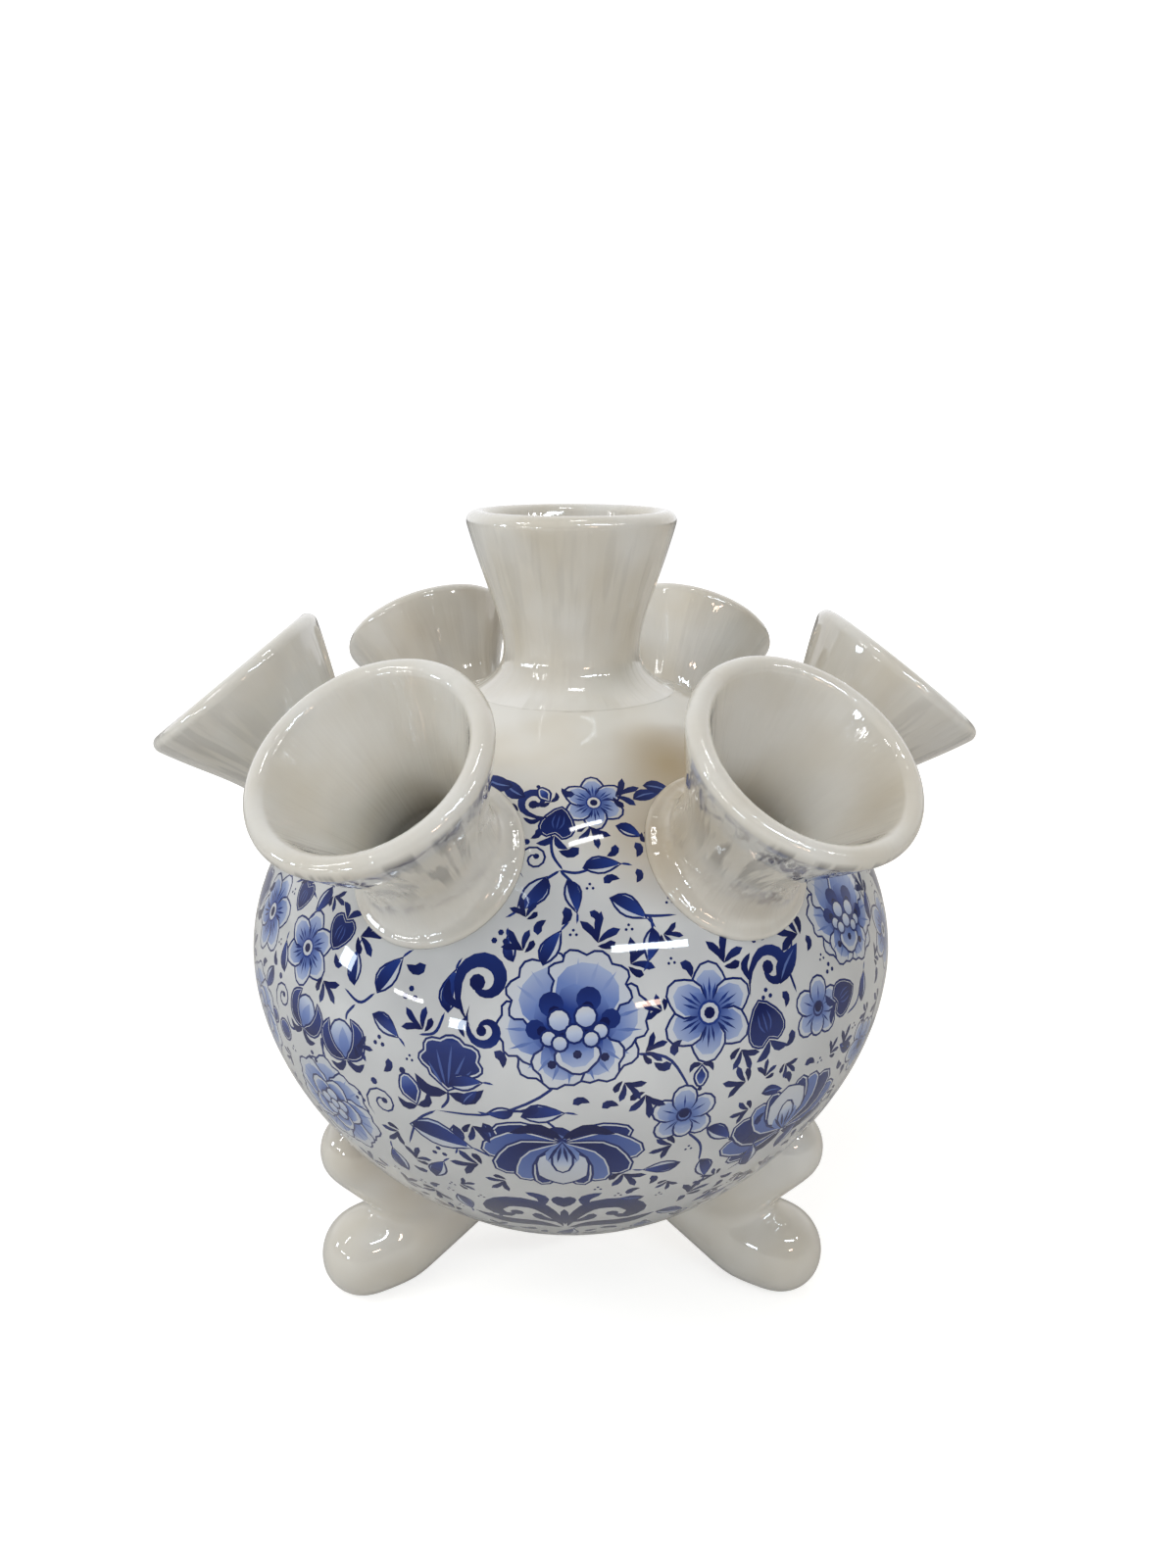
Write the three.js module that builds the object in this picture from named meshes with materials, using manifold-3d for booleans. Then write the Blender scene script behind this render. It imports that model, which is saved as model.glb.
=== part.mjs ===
// Tulip vase: a hollow globe on three scroll feet, a trumpet neck on its crown and six flared
// spouts round its shoulder, each luted to the globe with a collar of clay.
// Millimetres, +Z up, the origin on the ground under the middle of the globe.
// A point of a turned profile is (distance from the axis, height along the axis).

import * as THREE from 'three';
import { mergeVertices } from 'three/addons/utils/BufferGeometryUtils.js';
import Module from 'manifold-3d';

const wasm = await Module();
wasm.setup();

// Globe: a lower and an upper curve that meet at its widest ring
const GLOBE_RADIUS = 69;
const GLOBE_CLEARANCE = 10.5; // from the ground to its underside
const LOWER_HEIGHT = 67.4; // from its underside up to the widest ring
const UPPER_HEIGHT = 59; // from the widest ring up to the crown
const UNDERSIDE_FLATNESS = 36; // how far each curve runs level at its pole
const CROWN_FLATNESS = 25.5;
const LOWER_SWELL = 28.8; // how far each curve runs upright at the widest ring
const UPPER_SWELL = 32.8;
const GLOBE_WALL = 4.5;

// Where two fired pieces meet, the joint is this wide
const JOINT_GAP = 0.3;

// Neck, upright on the crown
const NECK_LENGTH = 31.6;
const NECK_RIM_RADIUS = 21.1;
const NECK_WAIST_RADIUS = 14.2;
const NECK_WAIST_HEIGHT = 4;
const NECK_FLARE = THREE.MathUtils.degToRad(15);
const NECK_RIM_RUN = 12; // how far the flare holds its slope below the rim
const NECK_WAIST_RUN = 6; // how far it stays straight above the waist
const NECK_WALL = 4.2;

// Side spouts, leaning out from the shoulder
const SPOUT_COUNT = 6;
const SPOUT_SEAT_DROP = 24.36; // from the crown down to its seat
const SPOUT_TILT = THREE.MathUtils.degToRad(38.3); // from upright
const SPOUT_LENGTH = 29.2; // from its seat on the globe to its rim, along its axis
const SPOUT_RIM_RADIUS = 21.2;
const SPOUT_WAIST_RADIUS = 12.7;
const SPOUT_WAIST_HEIGHT = 4;
const SPOUT_FLARE = THREE.MathUtils.degToRad(21.5);
const SPOUT_RIM_RUN = 10.8;
const SPOUT_WAIST_RUN = 7;
const SPOUT_WALL = 4;

// Collars of clay round the root of the neck and of each spout
const NECK_COLLAR_SPREAD = 6.8; // how far it reaches out past the waist
const NECK_COLLAR_HEIGHT = 4;
const SPOUT_COLLAR_SPREAD = 3.9;
const SPOUT_COLLAR_HEIGHT = 5;
const COLLAR_EDGE = 0.5; // thickness of its upper and outer edges

// Scroll feet: a paw runs down and out to a round toe, and a knob curls out above it.
// An inset is measured from the globe's widest ring in to the tip.
const FOOT_SPREAD = THREE.MathUtils.degToRad(62.3); // from the front to each front foot
const FOOT_TURN = THREE.MathUtils.degToRad(-2.6); // of all three feet against the spouts
const TOE_INSET = 7.8;
const TOE_RADIUS = 10.6;
const SOLE_DEPTH = 1.2; // ground flat off the toe's underside
const PAW_ROOT_REACH = 22; // of its upper end, from the axis
const PAW_ROOT_RISE = 6.5; // of its upper end, above the globe's underside
const PAW_ROOT_RADIUS = 8.9;
const KNOB_INSET = 8.3;
const KNOB_RADIUS = 9;
const KNOB_HEIGHT = 36.4; // of its middle above the ground
const KNOB_LENGTH = 15.3; // back into the paw
const KNOB_ROOT_RADIUS = 10.4;
const KNOB_LEAN = THREE.MathUtils.degToRad(45);
const WEB_REACH = 37.5; // of the web that fills the notch between them, from the axis
const WEB_RISE = 11.5; // of the web's middle, above the globe's underside
const WEB_RADIUS = 9.5;
const FOOT_SLIMNESS = 0.95; // its width against its depth in side view

// How finely round shapes are divided
const GLOBE_SIDES = 48;
const GLOBE_STEPS = 11;
const HOLLOW_SIDES = 24;
const HOLLOW_STEPS = 7;
const SPOUT_SIDES = 24;
const FLARE_STEPS = 5;
const LIP_STEPS = 4;
const COLLAR_STEPS = 3;
const ARM_SIDES = 18;
const ARM_STEPS = 5;
const WELD_DISTANCE = 0.001;
const HALVINGS = 40; // of a curve, to find a place on it

const PRINTED_GLAZE = 0xd9dde8;
const WHITE_GLAZE = 0xe9e4d8;

const waistHeight = GLOBE_CLEARANCE + LOWER_HEIGHT;
const crownHeight = waistHeight + UPPER_HEIGHT;
const glaze = { roughness: 0.12, metalness: 0 };

const point = (x, y) => new THREE.Vector2(x, y);

function lowerCurve() {
  return new THREE.CubicBezierCurve(
    point(0, GLOBE_CLEARANCE),
    point(UNDERSIDE_FLATNESS, GLOBE_CLEARANCE),
    point(GLOBE_RADIUS, waistHeight - LOWER_SWELL),
    point(GLOBE_RADIUS, waistHeight),
  );
}

function upperCurve() {
  return new THREE.CubicBezierCurve(
    point(GLOBE_RADIUS, waistHeight),
    point(GLOBE_RADIUS, waistHeight + UPPER_SWELL),
    point(CROWN_FLATNESS, crownHeight),
    point(0, crownHeight),
  );
}

// The direction straight out of a curve that is walked upwards
function outwards(curve, t) {
  const along = curve.getTangent(t);
  return point(along.y, -along.x);
}

// The globe's outline from pole to pole, moved out by an offset
function globeProfile(offset, steps) {
  const profile = [point(0, GLOBE_CLEARANCE - offset)];
  for (const curve of [lowerCurve(), upperCurve()]) {
    for (let i = 1; i <= steps; i++) {
      const t = i / steps;
      profile.push(curve.getPoint(t).addScaledVector(outwards(curve, t), offset));
    }
  }
  profile[profile.length - 1] = point(0, crownHeight + offset);
  return profile;
}

// How far along a curve a test of its points still holds
function lastHolding(curve, holds) {
  let low = 0;
  let high = 1;
  for (let i = 0; i < HALVINGS; i++) {
    const middle = (low + high) / 2;
    if (holds(curve.getPoint(middle))) low = middle;
    else high = middle;
  }
  return low;
}

// The place on the upper curve that lies a drop below the crown
function seatAt(drop) {
  const curve = upperCurve();
  const t = lastHolding(curve, (place) => place.y < crownHeight - drop);
  return { place: curve.getPoint(t), normal: outwards(curve, t) };
}

// The height of the upper curve at a distance from the axis
function upperHeightAt(radius) {
  const curve = upperCurve();
  return curve.getPoint(lastHolding(curve, (place) => place.x > radius)).y;
}

// A profile turned round the vertical axis
function turned(profile, sides) {
  return new THREE.LatheGeometry(profile, sides).rotateX(Math.PI / 2);
}

function solidOf(geometry) {
  geometry.deleteAttribute('normal');
  geometry.deleteAttribute('uv');
  const welded = mergeVertices(geometry, WELD_DISTANCE);
  const corners = welded.index.array;
  const triangles = [];
  for (let i = 0; i < corners.length; i += 3) {
    const [a, b, c] = corners.slice(i, i + 3);
    if (a !== b && b !== c && c !== a) triangles.push(a, b, c);
  }
  const vertProperties = new Float32Array(welded.attributes.position.array);
  const triVerts = new Uint32Array(triangles);
  return new wasm.Manifold(new wasm.Mesh({ numProp: 3, vertProperties, triVerts }));
}

function meshOf(name, solid, color) {
  const { vertProperties, triVerts, numProp } = solid.getMesh();
  const geometry = new THREE.BufferGeometry();
  geometry.setAttribute('position', new THREE.BufferAttribute(vertProperties, numProp));
  geometry.setIndex(new THREE.BufferAttribute(triVerts, 1));
  geometry.computeVertexNormals();
  const mesh = new THREE.Mesh(geometry, new THREE.MeshStandardMaterial({ ...glaze, color }));
  mesh.name = name;
  return mesh;
}

// The whole globe with no hollow, grown by an offset, to cut what rests on it
function fullGlobe(offset) {
  return solidOf(turned(globeProfile(offset, GLOBE_STEPS), GLOBE_SIDES));
}

const neck = {
  length: NECK_LENGTH,
  rim: NECK_RIM_RADIUS,
  waist: NECK_WAIST_RADIUS,
  waistAt: NECK_WAIST_HEIGHT,
  flare: NECK_FLARE,
  rimRun: NECK_RIM_RUN,
  waistRun: NECK_WAIST_RUN,
  wall: NECK_WALL,
};

const spout = {
  length: SPOUT_LENGTH,
  rim: SPOUT_RIM_RADIUS,
  waist: SPOUT_WAIST_RADIUS,
  waistAt: SPOUT_WAIST_HEIGHT,
  flare: SPOUT_FLARE,
  rimRun: SPOUT_RIM_RUN,
  waistRun: SPOUT_WAIST_RUN,
  wall: SPOUT_WALL,
};

// How far below its seat a tube starts, before the globe cuts its root to a saddle
const rootDepth = (tube) => tube.waist;

// The flare from the waist up to the rounded lip, moved out by an offset
function flareProfile(tube, offset) {
  const waist = point(tube.waist + offset, tube.waistAt);
  const lip = point(tube.rim + offset, tube.length - tube.wall / 2);
  const aboveWaist = point(waist.x, waist.y + tube.waistRun);
  const down = point(-Math.sin(tube.flare), -Math.cos(tube.flare));
  const belowLip = lip.clone().addScaledVector(down, tube.rimRun);
  return new THREE.CubicBezierCurve(waist, aboveWaist, belowLip, lip).getPoints(FLARE_STEPS);
}

// A tube's wall: up its outside, over its lip and down its bore
function tubeSolid(tube) {
  const foot = point(tube.waist, -rootDepth(tube));
  const profile = [foot, ...flareProfile(tube, 0)];
  const lip = tube.wall / 2;
  for (let i = 1; i < LIP_STEPS; i++) {
    const turn = (i / LIP_STEPS) * Math.PI;
    profile.push(point(tube.rim - lip + lip * Math.cos(turn), tube.length - lip + lip * Math.sin(turn)));
  }
  profile.push(...flareProfile(tube, -tube.wall).reverse());
  profile.push(point(tube.waist - tube.wall, -rootDepth(tube)), foot);
  return solidOf(turned(profile, SPOUT_SIDES));
}

// A tube's outside with no bore, with room for the joint, to cut the collar round it
function fullTube(tube) {
  const flare = flareProfile(tube, JOINT_GAP);
  const profile = [point(0, -rootDepth(tube)), point(tube.waist + JOINT_GAP, -rootDepth(tube))];
  profile.push(...flare, point(0, flare.at(-1).y));
  return solidOf(turned(profile, SPOUT_SIDES));
}

// The way from a tube's bore through the globe's wall
function boreSolid(tube) {
  const reach = GLOBE_WALL + tube.waist;
  const radius = tube.waist - tube.wall;
  const bore = new THREE.CylinderGeometry(radius, radius, 2 * reach, SPOUT_SIDES);
  return solidOf(bore.rotateX(Math.PI / 2));
}

// A hollow fillet round a tube's root, whose outer edge lies a drop below the seat
function collarSolid(tube, spread, height, drop) {
  const top = tube.waist + JOINT_GAP + COLLAR_EDGE;
  const edge = tube.waist + spread;
  const edgeHeight = COLLAR_EDGE - drop;
  const fillet = new THREE.CubicBezierCurve(
    point(edge, edgeHeight),
    point((top + edge) / 2, edgeHeight + drop / 2),
    point(top, edgeHeight + height / 2),
    point(top, height),
  );
  const base = -drop - GLOBE_WALL;
  const outline = fillet.getPoints(COLLAR_STEPS);
  const profile = [point(0, base), point(edge, base), ...outline, point(0, height)];
  return solidOf(turned(profile, SPOUT_SIDES));
}

// How an upright piece is leaned over and moved to its seat
function placement(tilt, x, z) {
  return new THREE.Matrix4().makeRotationY(tilt).setPosition(x, 0, z);
}

const seat = seatAt(SPOUT_SEAT_DROP);
const seatLean = Math.atan2(seat.normal.x, seat.normal.y);
const onCrown = placement(0, 0, crownHeight);
const onShoulder = placement(SPOUT_TILT, seat.place.x, seat.place.y);
const squareToShoulder = placement(seatLean, seat.place.x, seat.place.y);

// A copy of a piece turned round the vase's axis
const turnedCopy = (solid, angle) => solid.rotate([0, 0, THREE.MathUtils.radToDeg(angle)]);

function globeMesh() {
  const hollow = solidOf(turned(globeProfile(-GLOBE_WALL, HOLLOW_STEPS), HOLLOW_SIDES));
  const spoutBore = boreSolid(spout).transform(onShoulder.elements);
  let globe = fullGlobe(0).subtract(hollow).subtract(boreSolid(neck).transform(onCrown.elements));
  for (let i = 0; i < SPOUT_COUNT; i++) {
    globe = globe.subtract(turnedCopy(spoutBore, (i * 2 * Math.PI) / SPOUT_COUNT));
  }
  return meshOf('body_globe', globe, PRINTED_GLAZE);
}

function neckMeshes() {
  const globe = fullGlobe(JOINT_GAP);
  const tube = tubeSolid(neck).transform(onCrown.elements).subtract(globe);
  const drop = crownHeight - upperHeightAt(NECK_WAIST_RADIUS + NECK_COLLAR_SPREAD) - JOINT_GAP;
  const collar = collarSolid(neck, NECK_COLLAR_SPREAD, NECK_COLLAR_HEIGHT, drop)
    .subtract(fullTube(neck))
    .transform(onCrown.elements)
    .subtract(globe);
  return [meshOf('neck_spout', tube, WHITE_GLAZE), meshOf('neck_collar', collar, WHITE_GLAZE)];
}

// One spout and its collar, pointing along +X
function spoutSolids() {
  const globe = fullGlobe(JOINT_GAP);
  const tube = tubeSolid(spout).transform(onShoulder.elements).subtract(globe);
  const toAxis = seat.place.x / seat.normal.x;
  const edge = SPOUT_WAIST_RADIUS + SPOUT_COLLAR_SPREAD;
  const drop = toAxis - Math.sqrt(toAxis ** 2 - edge ** 2) - JOINT_GAP;
  const collar = collarSolid(spout, SPOUT_COLLAR_SPREAD, SPOUT_COLLAR_HEIGHT, drop)
    .transform(squareToShoulder.elements)
    .subtract(fullTube(spout).transform(onShoulder.elements))
    .subtract(globe);
  return { tube, collar };
}

// A round-ended arm that tapers between two balls, each given by its middle and radius
function armSolid(tip, tipRadius, root, rootRadius) {
  const length = tip.distanceTo(root);
  const slope = Math.asin((rootRadius - tipRadius) / length);
  const profile = [];
  for (let i = 0; i <= ARM_STEPS; i++) {
    const turn = -Math.PI / 2 + (i / ARM_STEPS) * (Math.PI / 2 - slope);
    profile.push(point(rootRadius * Math.cos(turn), rootRadius * Math.sin(turn)));
  }
  for (let i = 0; i <= ARM_STEPS; i++) {
    const turn = -slope + (i / ARM_STEPS) * (Math.PI / 2 + slope);
    profile.push(point(tipRadius * Math.cos(turn), length + tipRadius * Math.sin(turn)));
  }
  profile[0] = point(0, -rootRadius);
  profile[profile.length - 1] = point(0, length + tipRadius);
  const lean = Math.atan2(tip.x - root.x, tip.y - root.y);
  const arm = turned(profile, ARM_SIDES).scale(1, FOOT_SLIMNESS, 1);
  return solidOf(arm.applyMatrix4(placement(lean, root.x, root.y)));
}

// One foot, pointing along +X
function footSolid() {
  const toe = point(GLOBE_RADIUS - TOE_INSET - TOE_RADIUS, TOE_RADIUS - SOLE_DEPTH);
  const pawRoot = point(PAW_ROOT_REACH, GLOBE_CLEARANCE + PAW_ROOT_RISE);
  const knob = point(GLOBE_RADIUS - KNOB_INSET - KNOB_RADIUS, KNOB_HEIGHT);
  const back = point(-Math.sin(KNOB_LEAN), -Math.cos(KNOB_LEAN));
  const knobRoot = knob.clone().addScaledVector(back, KNOB_LENGTH);
  const web = point(WEB_REACH, GLOBE_CLEARANCE + WEB_RISE);
  const ground = new THREE.BoxGeometry(2 * GLOBE_RADIUS, 2 * GLOBE_RADIUS, TOE_RADIUS);
  return armSolid(toe, TOE_RADIUS, pawRoot, PAW_ROOT_RADIUS)
    .add(armSolid(knob, KNOB_RADIUS, knobRoot, KNOB_ROOT_RADIUS))
    .add(armSolid(web, WEB_RADIUS, pawRoot, PAW_ROOT_RADIUS))
    .subtract(solidOf(ground.translate(0, 0, -TOE_RADIUS / 2)));
}

// A named piece turned to its place round the vase
function atTurn(mesh, angle) {
  mesh.rotation.z = angle;
  return mesh;
}

const vase = new THREE.Group();
vase.add(globeMesh(), ...neckMeshes());

const { tube, collar } = spoutSolids();
for (let i = 0; i < SPOUT_COUNT; i++) {
  const angle = (i * 2 * Math.PI) / SPOUT_COUNT;
  vase.add(atTurn(meshOf(`side_spout_${i + 1}`, tube, WHITE_GLAZE), angle));
  vase.add(atTurn(meshOf(`spout_collar_${i + 1}`, collar, WHITE_GLAZE), angle));
}

// The feet are cut to the globe where they stand, because their turn is not the spouts'
const front = -Math.PI / 2;
const footAngles = [front + FOOT_SPREAD, front + Math.PI, front - FOOT_SPREAD];
const foot = footSolid();
footAngles.forEach((angle, i) => {
  const placed = turnedCopy(foot, angle + FOOT_TURN).subtract(fullGlobe(JOINT_GAP));
  vase.add(meshOf(`foot_${i + 1}`, placed, WHITE_GLAZE));
});

export default vase;
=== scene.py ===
# %% [markdown]
# A tulip vase, built as a potter builds it.
# The real vase is white tin-glazed pottery: a thrown globe, a trumpet neck on its crown, six small
# trumpets round its shoulder for one stem each, and scroll feet. The sizes are the CAD model's.
# This script puts the finish on it: round clay, glaze, and a blue sheet of painted flowers.

import math

import bmesh
import bpy
import numpy as np
from mathutils import Matrix, Vector
from mathutils.geometry import delaunay_2d_cdt


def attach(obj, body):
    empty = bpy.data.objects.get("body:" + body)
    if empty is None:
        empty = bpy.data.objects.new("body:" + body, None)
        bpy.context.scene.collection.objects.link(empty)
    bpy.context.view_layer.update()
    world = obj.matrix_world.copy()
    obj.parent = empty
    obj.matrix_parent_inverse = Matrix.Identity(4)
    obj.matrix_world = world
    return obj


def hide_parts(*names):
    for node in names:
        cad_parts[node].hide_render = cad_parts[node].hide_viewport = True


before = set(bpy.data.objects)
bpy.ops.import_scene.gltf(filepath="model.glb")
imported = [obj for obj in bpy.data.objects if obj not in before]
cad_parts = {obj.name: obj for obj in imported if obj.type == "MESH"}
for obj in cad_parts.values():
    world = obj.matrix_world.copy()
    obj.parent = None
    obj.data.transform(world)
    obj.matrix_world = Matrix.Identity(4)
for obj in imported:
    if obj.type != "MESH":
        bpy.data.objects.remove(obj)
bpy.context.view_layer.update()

# %% [markdown]
# Every piece is modelled in millimetres, which are easier to think in at this size, and is scaled to
# metres at the very end. The object of a finished piece stays at the origin, unturned and unscaled,
# so its place is in its mesh, as it is for the CAD nodes.

# %% From millimetres to finished pieces
MM = 0.001


def put(name, data):
    """A new object in the scene, at the origin."""
    made = bpy.data.objects.new(name, data)
    bpy.context.scene.collection.objects.link(made)
    return made


def put_bmesh(name, bm):
    """A new object in the scene, whose mesh is this bmesh."""
    mesh = bpy.data.meshes.new(name)
    bm.to_mesh(mesh)
    bm.free()
    return put(name, mesh)


def finish_piece(name, bm, material, slot, *nodes):
    """Turns a bmesh in millimetres into a piece that stands for these CAD nodes."""
    bmesh.ops.scale(bm, vec=(MM, MM, MM), verts=bm.verts)
    piece = put_bmesh(name, bm)
    mesh = piece.data
    mesh.shade_smooth()
    mesh.materials.append(material)
    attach(piece, "root")
    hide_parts(*nodes)
    mesh.calc_loop_triangles()
    print(name, "has", len(mesh.loop_triangles), "triangles")
    return piece


# %% [markdown]
# The glaze. Tin glaze is a glass made white by tiny grains of tin oxide, fired onto the clay at about
# 1000 degrees. It has the gloss of glass, and is never quite even: it runs a little thicker and
# warmer in places, and its surface swells gently as brushed slip does. Both are drawn by soft
# noise, whose scale comes from the size of a real run or swell. A few warm patches in the spouts
# and by the neck are painted shade and reflection.
# Colours are written as on a paint chart and one function turns them to the linear values that
# the shader needs.

# %% Colour and node helpers


def linear(hex_colour, alpha=1.0):
    """An sRGB colour such as #DCD8CD as linear values."""
    values = [int(hex_colour[i : i + 2], 16) / 255 for i in (1, 3, 5)]
    values = [v / 12.92 if v <= 0.04045 else ((v + 0.055) / 1.055) ** 2.4 for v in values]
    return (*values, alpha)


def add_node(tree, kind, inputs=(), links=(), **settings):
    """One node with its input values, its links from other nodes' outputs, and its settings."""
    node = tree.nodes.new("ShaderNode" + kind)
    for key, value in settings.items():
        setattr(node, key, value)
    for key, value in dict(inputs).items():
        node.inputs[key].default_value = value
    for key, output in dict(links).items():
        tree.links.new(output, node.inputs[key])
    return node


# The sockets of a Mix node for colours.
MIX_FACTOR, MIX_FIRST, MIX_SECOND, MIX_RESULT = 0, 6, 7, 2
print("a tin white in linear light:", [round(v, 3) for v in linear("#DCD8CD")])

# %% The colour of the white glaze
CREAM = ("#D3CCBD", "#DEDBD3")  # where the dipped glaze runs thick, and where it lies thin
POOL_SIZE = 14.0  # mm, a thicker run of glaze
POOL_EDGES = (0.3, 0.7)  # the values of the noise between which one white turns into the other
WARM_SHADE_TINT = "#A68A4C"  # the warm tint of the painted shade and reflection in the spouts and by the neck
PAINTED_WARM_SHADES = (  # the middle of each patch of painted warm shade and its reach, in mm, and its strength
    (17, -33, 126, 14, 0.7),
    (12, -46, 117, 19, 0.4),
    (-24, 60, 134, 17, 0.3),
    (47, -60, 128, 14, 0.25),
)


def glaze_colour(tree, place, whites):
    """Two whites of one glaze, mixed in soft pools, with patches of painted warm shade over them."""
    pools = add_node(
        tree, "TexNoise",
        inputs={"Scale": 1 / (POOL_SIZE * MM), "Detail": 2.0, "Roughness": 0.4},
        links={"Vector": place},
    )
    ramp = add_node(tree, "ValToRGB", links={"Fac": pools.outputs["Fac"]})
    for stop, edge, white in zip(ramp.color_ramp.elements, POOL_EDGES, whites):
        stop.position = edge
        stop.color = linear(white)
    colour = ramp.outputs["Color"]
    # Painted warm shade and reflection: fixed warm patches laid over the glaze near the spouts and the
    # neck.
    for x, y, z, reach, strength in PAINTED_WARM_SHADES:
        away = add_node(
            tree, "VectorMath", operation="DISTANCE",
            inputs={1: (x * MM, y * MM, z * MM)},
            links={0: place},
        )
        amount = add_node(
            tree, "MapRange", interpolation_type="SMOOTHSTEP",
            inputs={"From Max": reach * MM, "To Min": strength, "To Max": 0.0},
            links={"Value": away.outputs["Value"]},
        )
        warm_shaded = add_node(
            tree, "Mix", data_type="RGBA",
            inputs={MIX_SECOND: linear(WARM_SHADE_TINT)},
            links={MIX_FACTOR: amount.outputs["Result"], MIX_FIRST: colour},
        )
        colour = warm_shaded.outputs[MIX_RESULT]
    return colour


# The warm stains in this count are painted warm shade and reflection.
print("the glaze pools every", POOL_SIZE, "mm and has", len(PAINTED_WARM_SHADES), "warm stains")

# %% The gloss and the swell of a glaze
WAVE_SIZE = 9.0  # mm, a swell left by the brush and the fire
WAVE_HEIGHT, WAVE_STRENGTH = 0.4, 0.12  # mm, and how much of that height the light sees
GLAZE_ROUGHNESS = 0.03
TIN_GLAZE_IOR = 1.65  # lead and tin raise it above the 1.5 of window glass
CLEAR_GLAZE_IOR = 1.48


def new_glaze(name, ior):
    """A material whose shader has the glaze's gloss, with its tree and its place on the object."""
    material = bpy.data.materials.new(name)
    material.use_nodes = True
    tree = material.node_tree
    shader = tree.nodes["Principled BSDF"]
    shader.inputs["Roughness"].default_value = GLAZE_ROUGHNESS
    shader.inputs["IOR"].default_value = ior
    place = add_node(tree, "TexCoord").outputs["Object"]
    waves = add_node(
        tree, "TexNoise",
        inputs={"Scale": 1 / (WAVE_SIZE * MM), "Detail": 1.0, "Roughness": 0.3},
        links={"Vector": place},
    )
    swell = add_node(
        tree, "Bump",
        inputs={"Strength": WAVE_STRENGTH, "Distance": WAVE_HEIGHT * MM},
        links={"Height": waves.outputs["Fac"]},
    )
    tree.links.new(swell.outputs["Normal"], shader.inputs["Normal"])
    return material, tree, shader, place, swell


print("the glaze swells every", WAVE_SIZE, "mm")

# %% [markdown]
# On the neck and the spouts the glaze ran down in streaks before it set. Their coordinate is an
# attribute of the mesh, which goes round the trumpet in full and along it much less, so that the
# noise is drawn out into lines. Under the spouts, where the clay faces down, the streaks are
# painted grey as painted shade, and a second attribute says how much.

# %% The white tin glaze
STREAK_WIDTH = 1.9  # mm
STREAK_HEIGHT, STREAK_STRENGTH = 0.45, 0.8
# Painted shade: the grey that the streaks under the spouts take, where the clay faces down.
UNDERSIDE_SHADE_GREY = "#7F7C78"
SHADE_STREAK_EDGES = (0.49, 0.58)  # the values of the noise between which the streaks take the painted shade

white_glaze, tree, shader, place, swell = new_glaze("white tin glaze, dipped and fired", TIN_GLAZE_IOR)
shader.inputs["Coat Weight"].default_value = 1.0  # a clear skin forms over the tin in the kiln
shader.inputs["Coat Roughness"].default_value = GLAZE_ROUGHNESS
shader.inputs["Coat IOR"].default_value = 1.5
runs = add_node(tree, "Attribute", attribute_name="runs")
streaks = add_node(
    tree, "TexNoise",
    inputs={"Scale": 1 / STREAK_WIDTH, "Detail": 2.0, "Roughness": 0.5},
    links={"Vector": runs.outputs["Vector"]},
)
ridges = add_node(
    tree, "Bump",
    inputs={"Strength": STREAK_STRENGTH, "Distance": STREAK_HEIGHT * MM},
    links={"Height": streaks.outputs["Fac"], "Normal": swell.outputs["Normal"]},
)
tree.links.new(ridges.outputs["Normal"], shader.inputs["Normal"])
# The grey streaks below are painted shade, where the tube faces down.
line = add_node(
    tree, "MapRange",
    inputs={"From Min": SHADE_STREAK_EDGES[0], "From Max": SHADE_STREAK_EDGES[1]},
    links={"Value": streaks.outputs["Fac"]},
)
down_shade = add_node(tree, "Attribute", attribute_name="thin")
amount = add_node(
    tree, "Math", operation="MULTIPLY", links={0: line.outputs["Result"], 1: down_shade.outputs["Fac"]}
)
thin = add_node(
    tree, "Mix", data_type="RGBA",
    inputs={MIX_SECOND: linear(UNDERSIDE_SHADE_GREY)},
    links={MIX_FACTOR: amount.outputs["Value"], MIX_FIRST: glaze_colour(tree, place, CREAM)},
)
tree.links.new(thin.outputs[MIX_RESULT], shader.inputs["Base Color"])
print(white_glaze.name, "has", len(tree.nodes), "nodes")

# %% [markdown]
# The blue decoration lies under a clear glaze. Cobalt oxide gives one blue: thin it is a pale wash,
# thick it is nearly black. So one number, cobalt, drives the whole colour, as the amount of pigment
# does on the real pot. The ground is a cooler white than the dipped glaze, which covers the dome.

# %% The blue decoration under the glaze
COBALT_STEPS = ((0.14, "#B6C0D3"), (0.42, "#6A80B6"), (0.72, "#1F3882"), (1.0, "#070F44"))
COOL_WHITE = ("#C3C4C4", "#D1D2D1")
BARE_DOME = (0.110, 0.126)  # m, the heights between which the cool ground gives way to cream

PRINT_NAME = "cobalt decoration under a clear glaze"
printed_glaze, tree, shader, place, _ = new_glaze(PRINT_NAME, CLEAR_GLAZE_IOR)
pigment = add_node(tree, "Attribute", attribute_name="cobalt")
ramp = add_node(tree, "ValToRGB", links={"Fac": pigment.outputs["Fac"]})
for at, _ in COBALT_STEPS[1:-1]:
    ramp.color_ramp.elements.new(at)
for stop, (at, tone) in zip(ramp.color_ramp.elements, COBALT_STEPS):
    stop.position = at
    stop.color = linear(tone)
cover = add_node(
    tree, "MapRange",
    inputs={"From Min": 0.0, "From Max": COBALT_STEPS[0][0]},
    links={"Value": pigment.outputs["Fac"]},
)
height = add_node(tree, "SeparateXYZ", links={0: place})
dome = add_node(
    tree, "MapRange",
    inputs={"From Min": BARE_DOME[0], "From Max": BARE_DOME[1]},
    links={"Value": height.outputs["Z"]},
)
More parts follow.
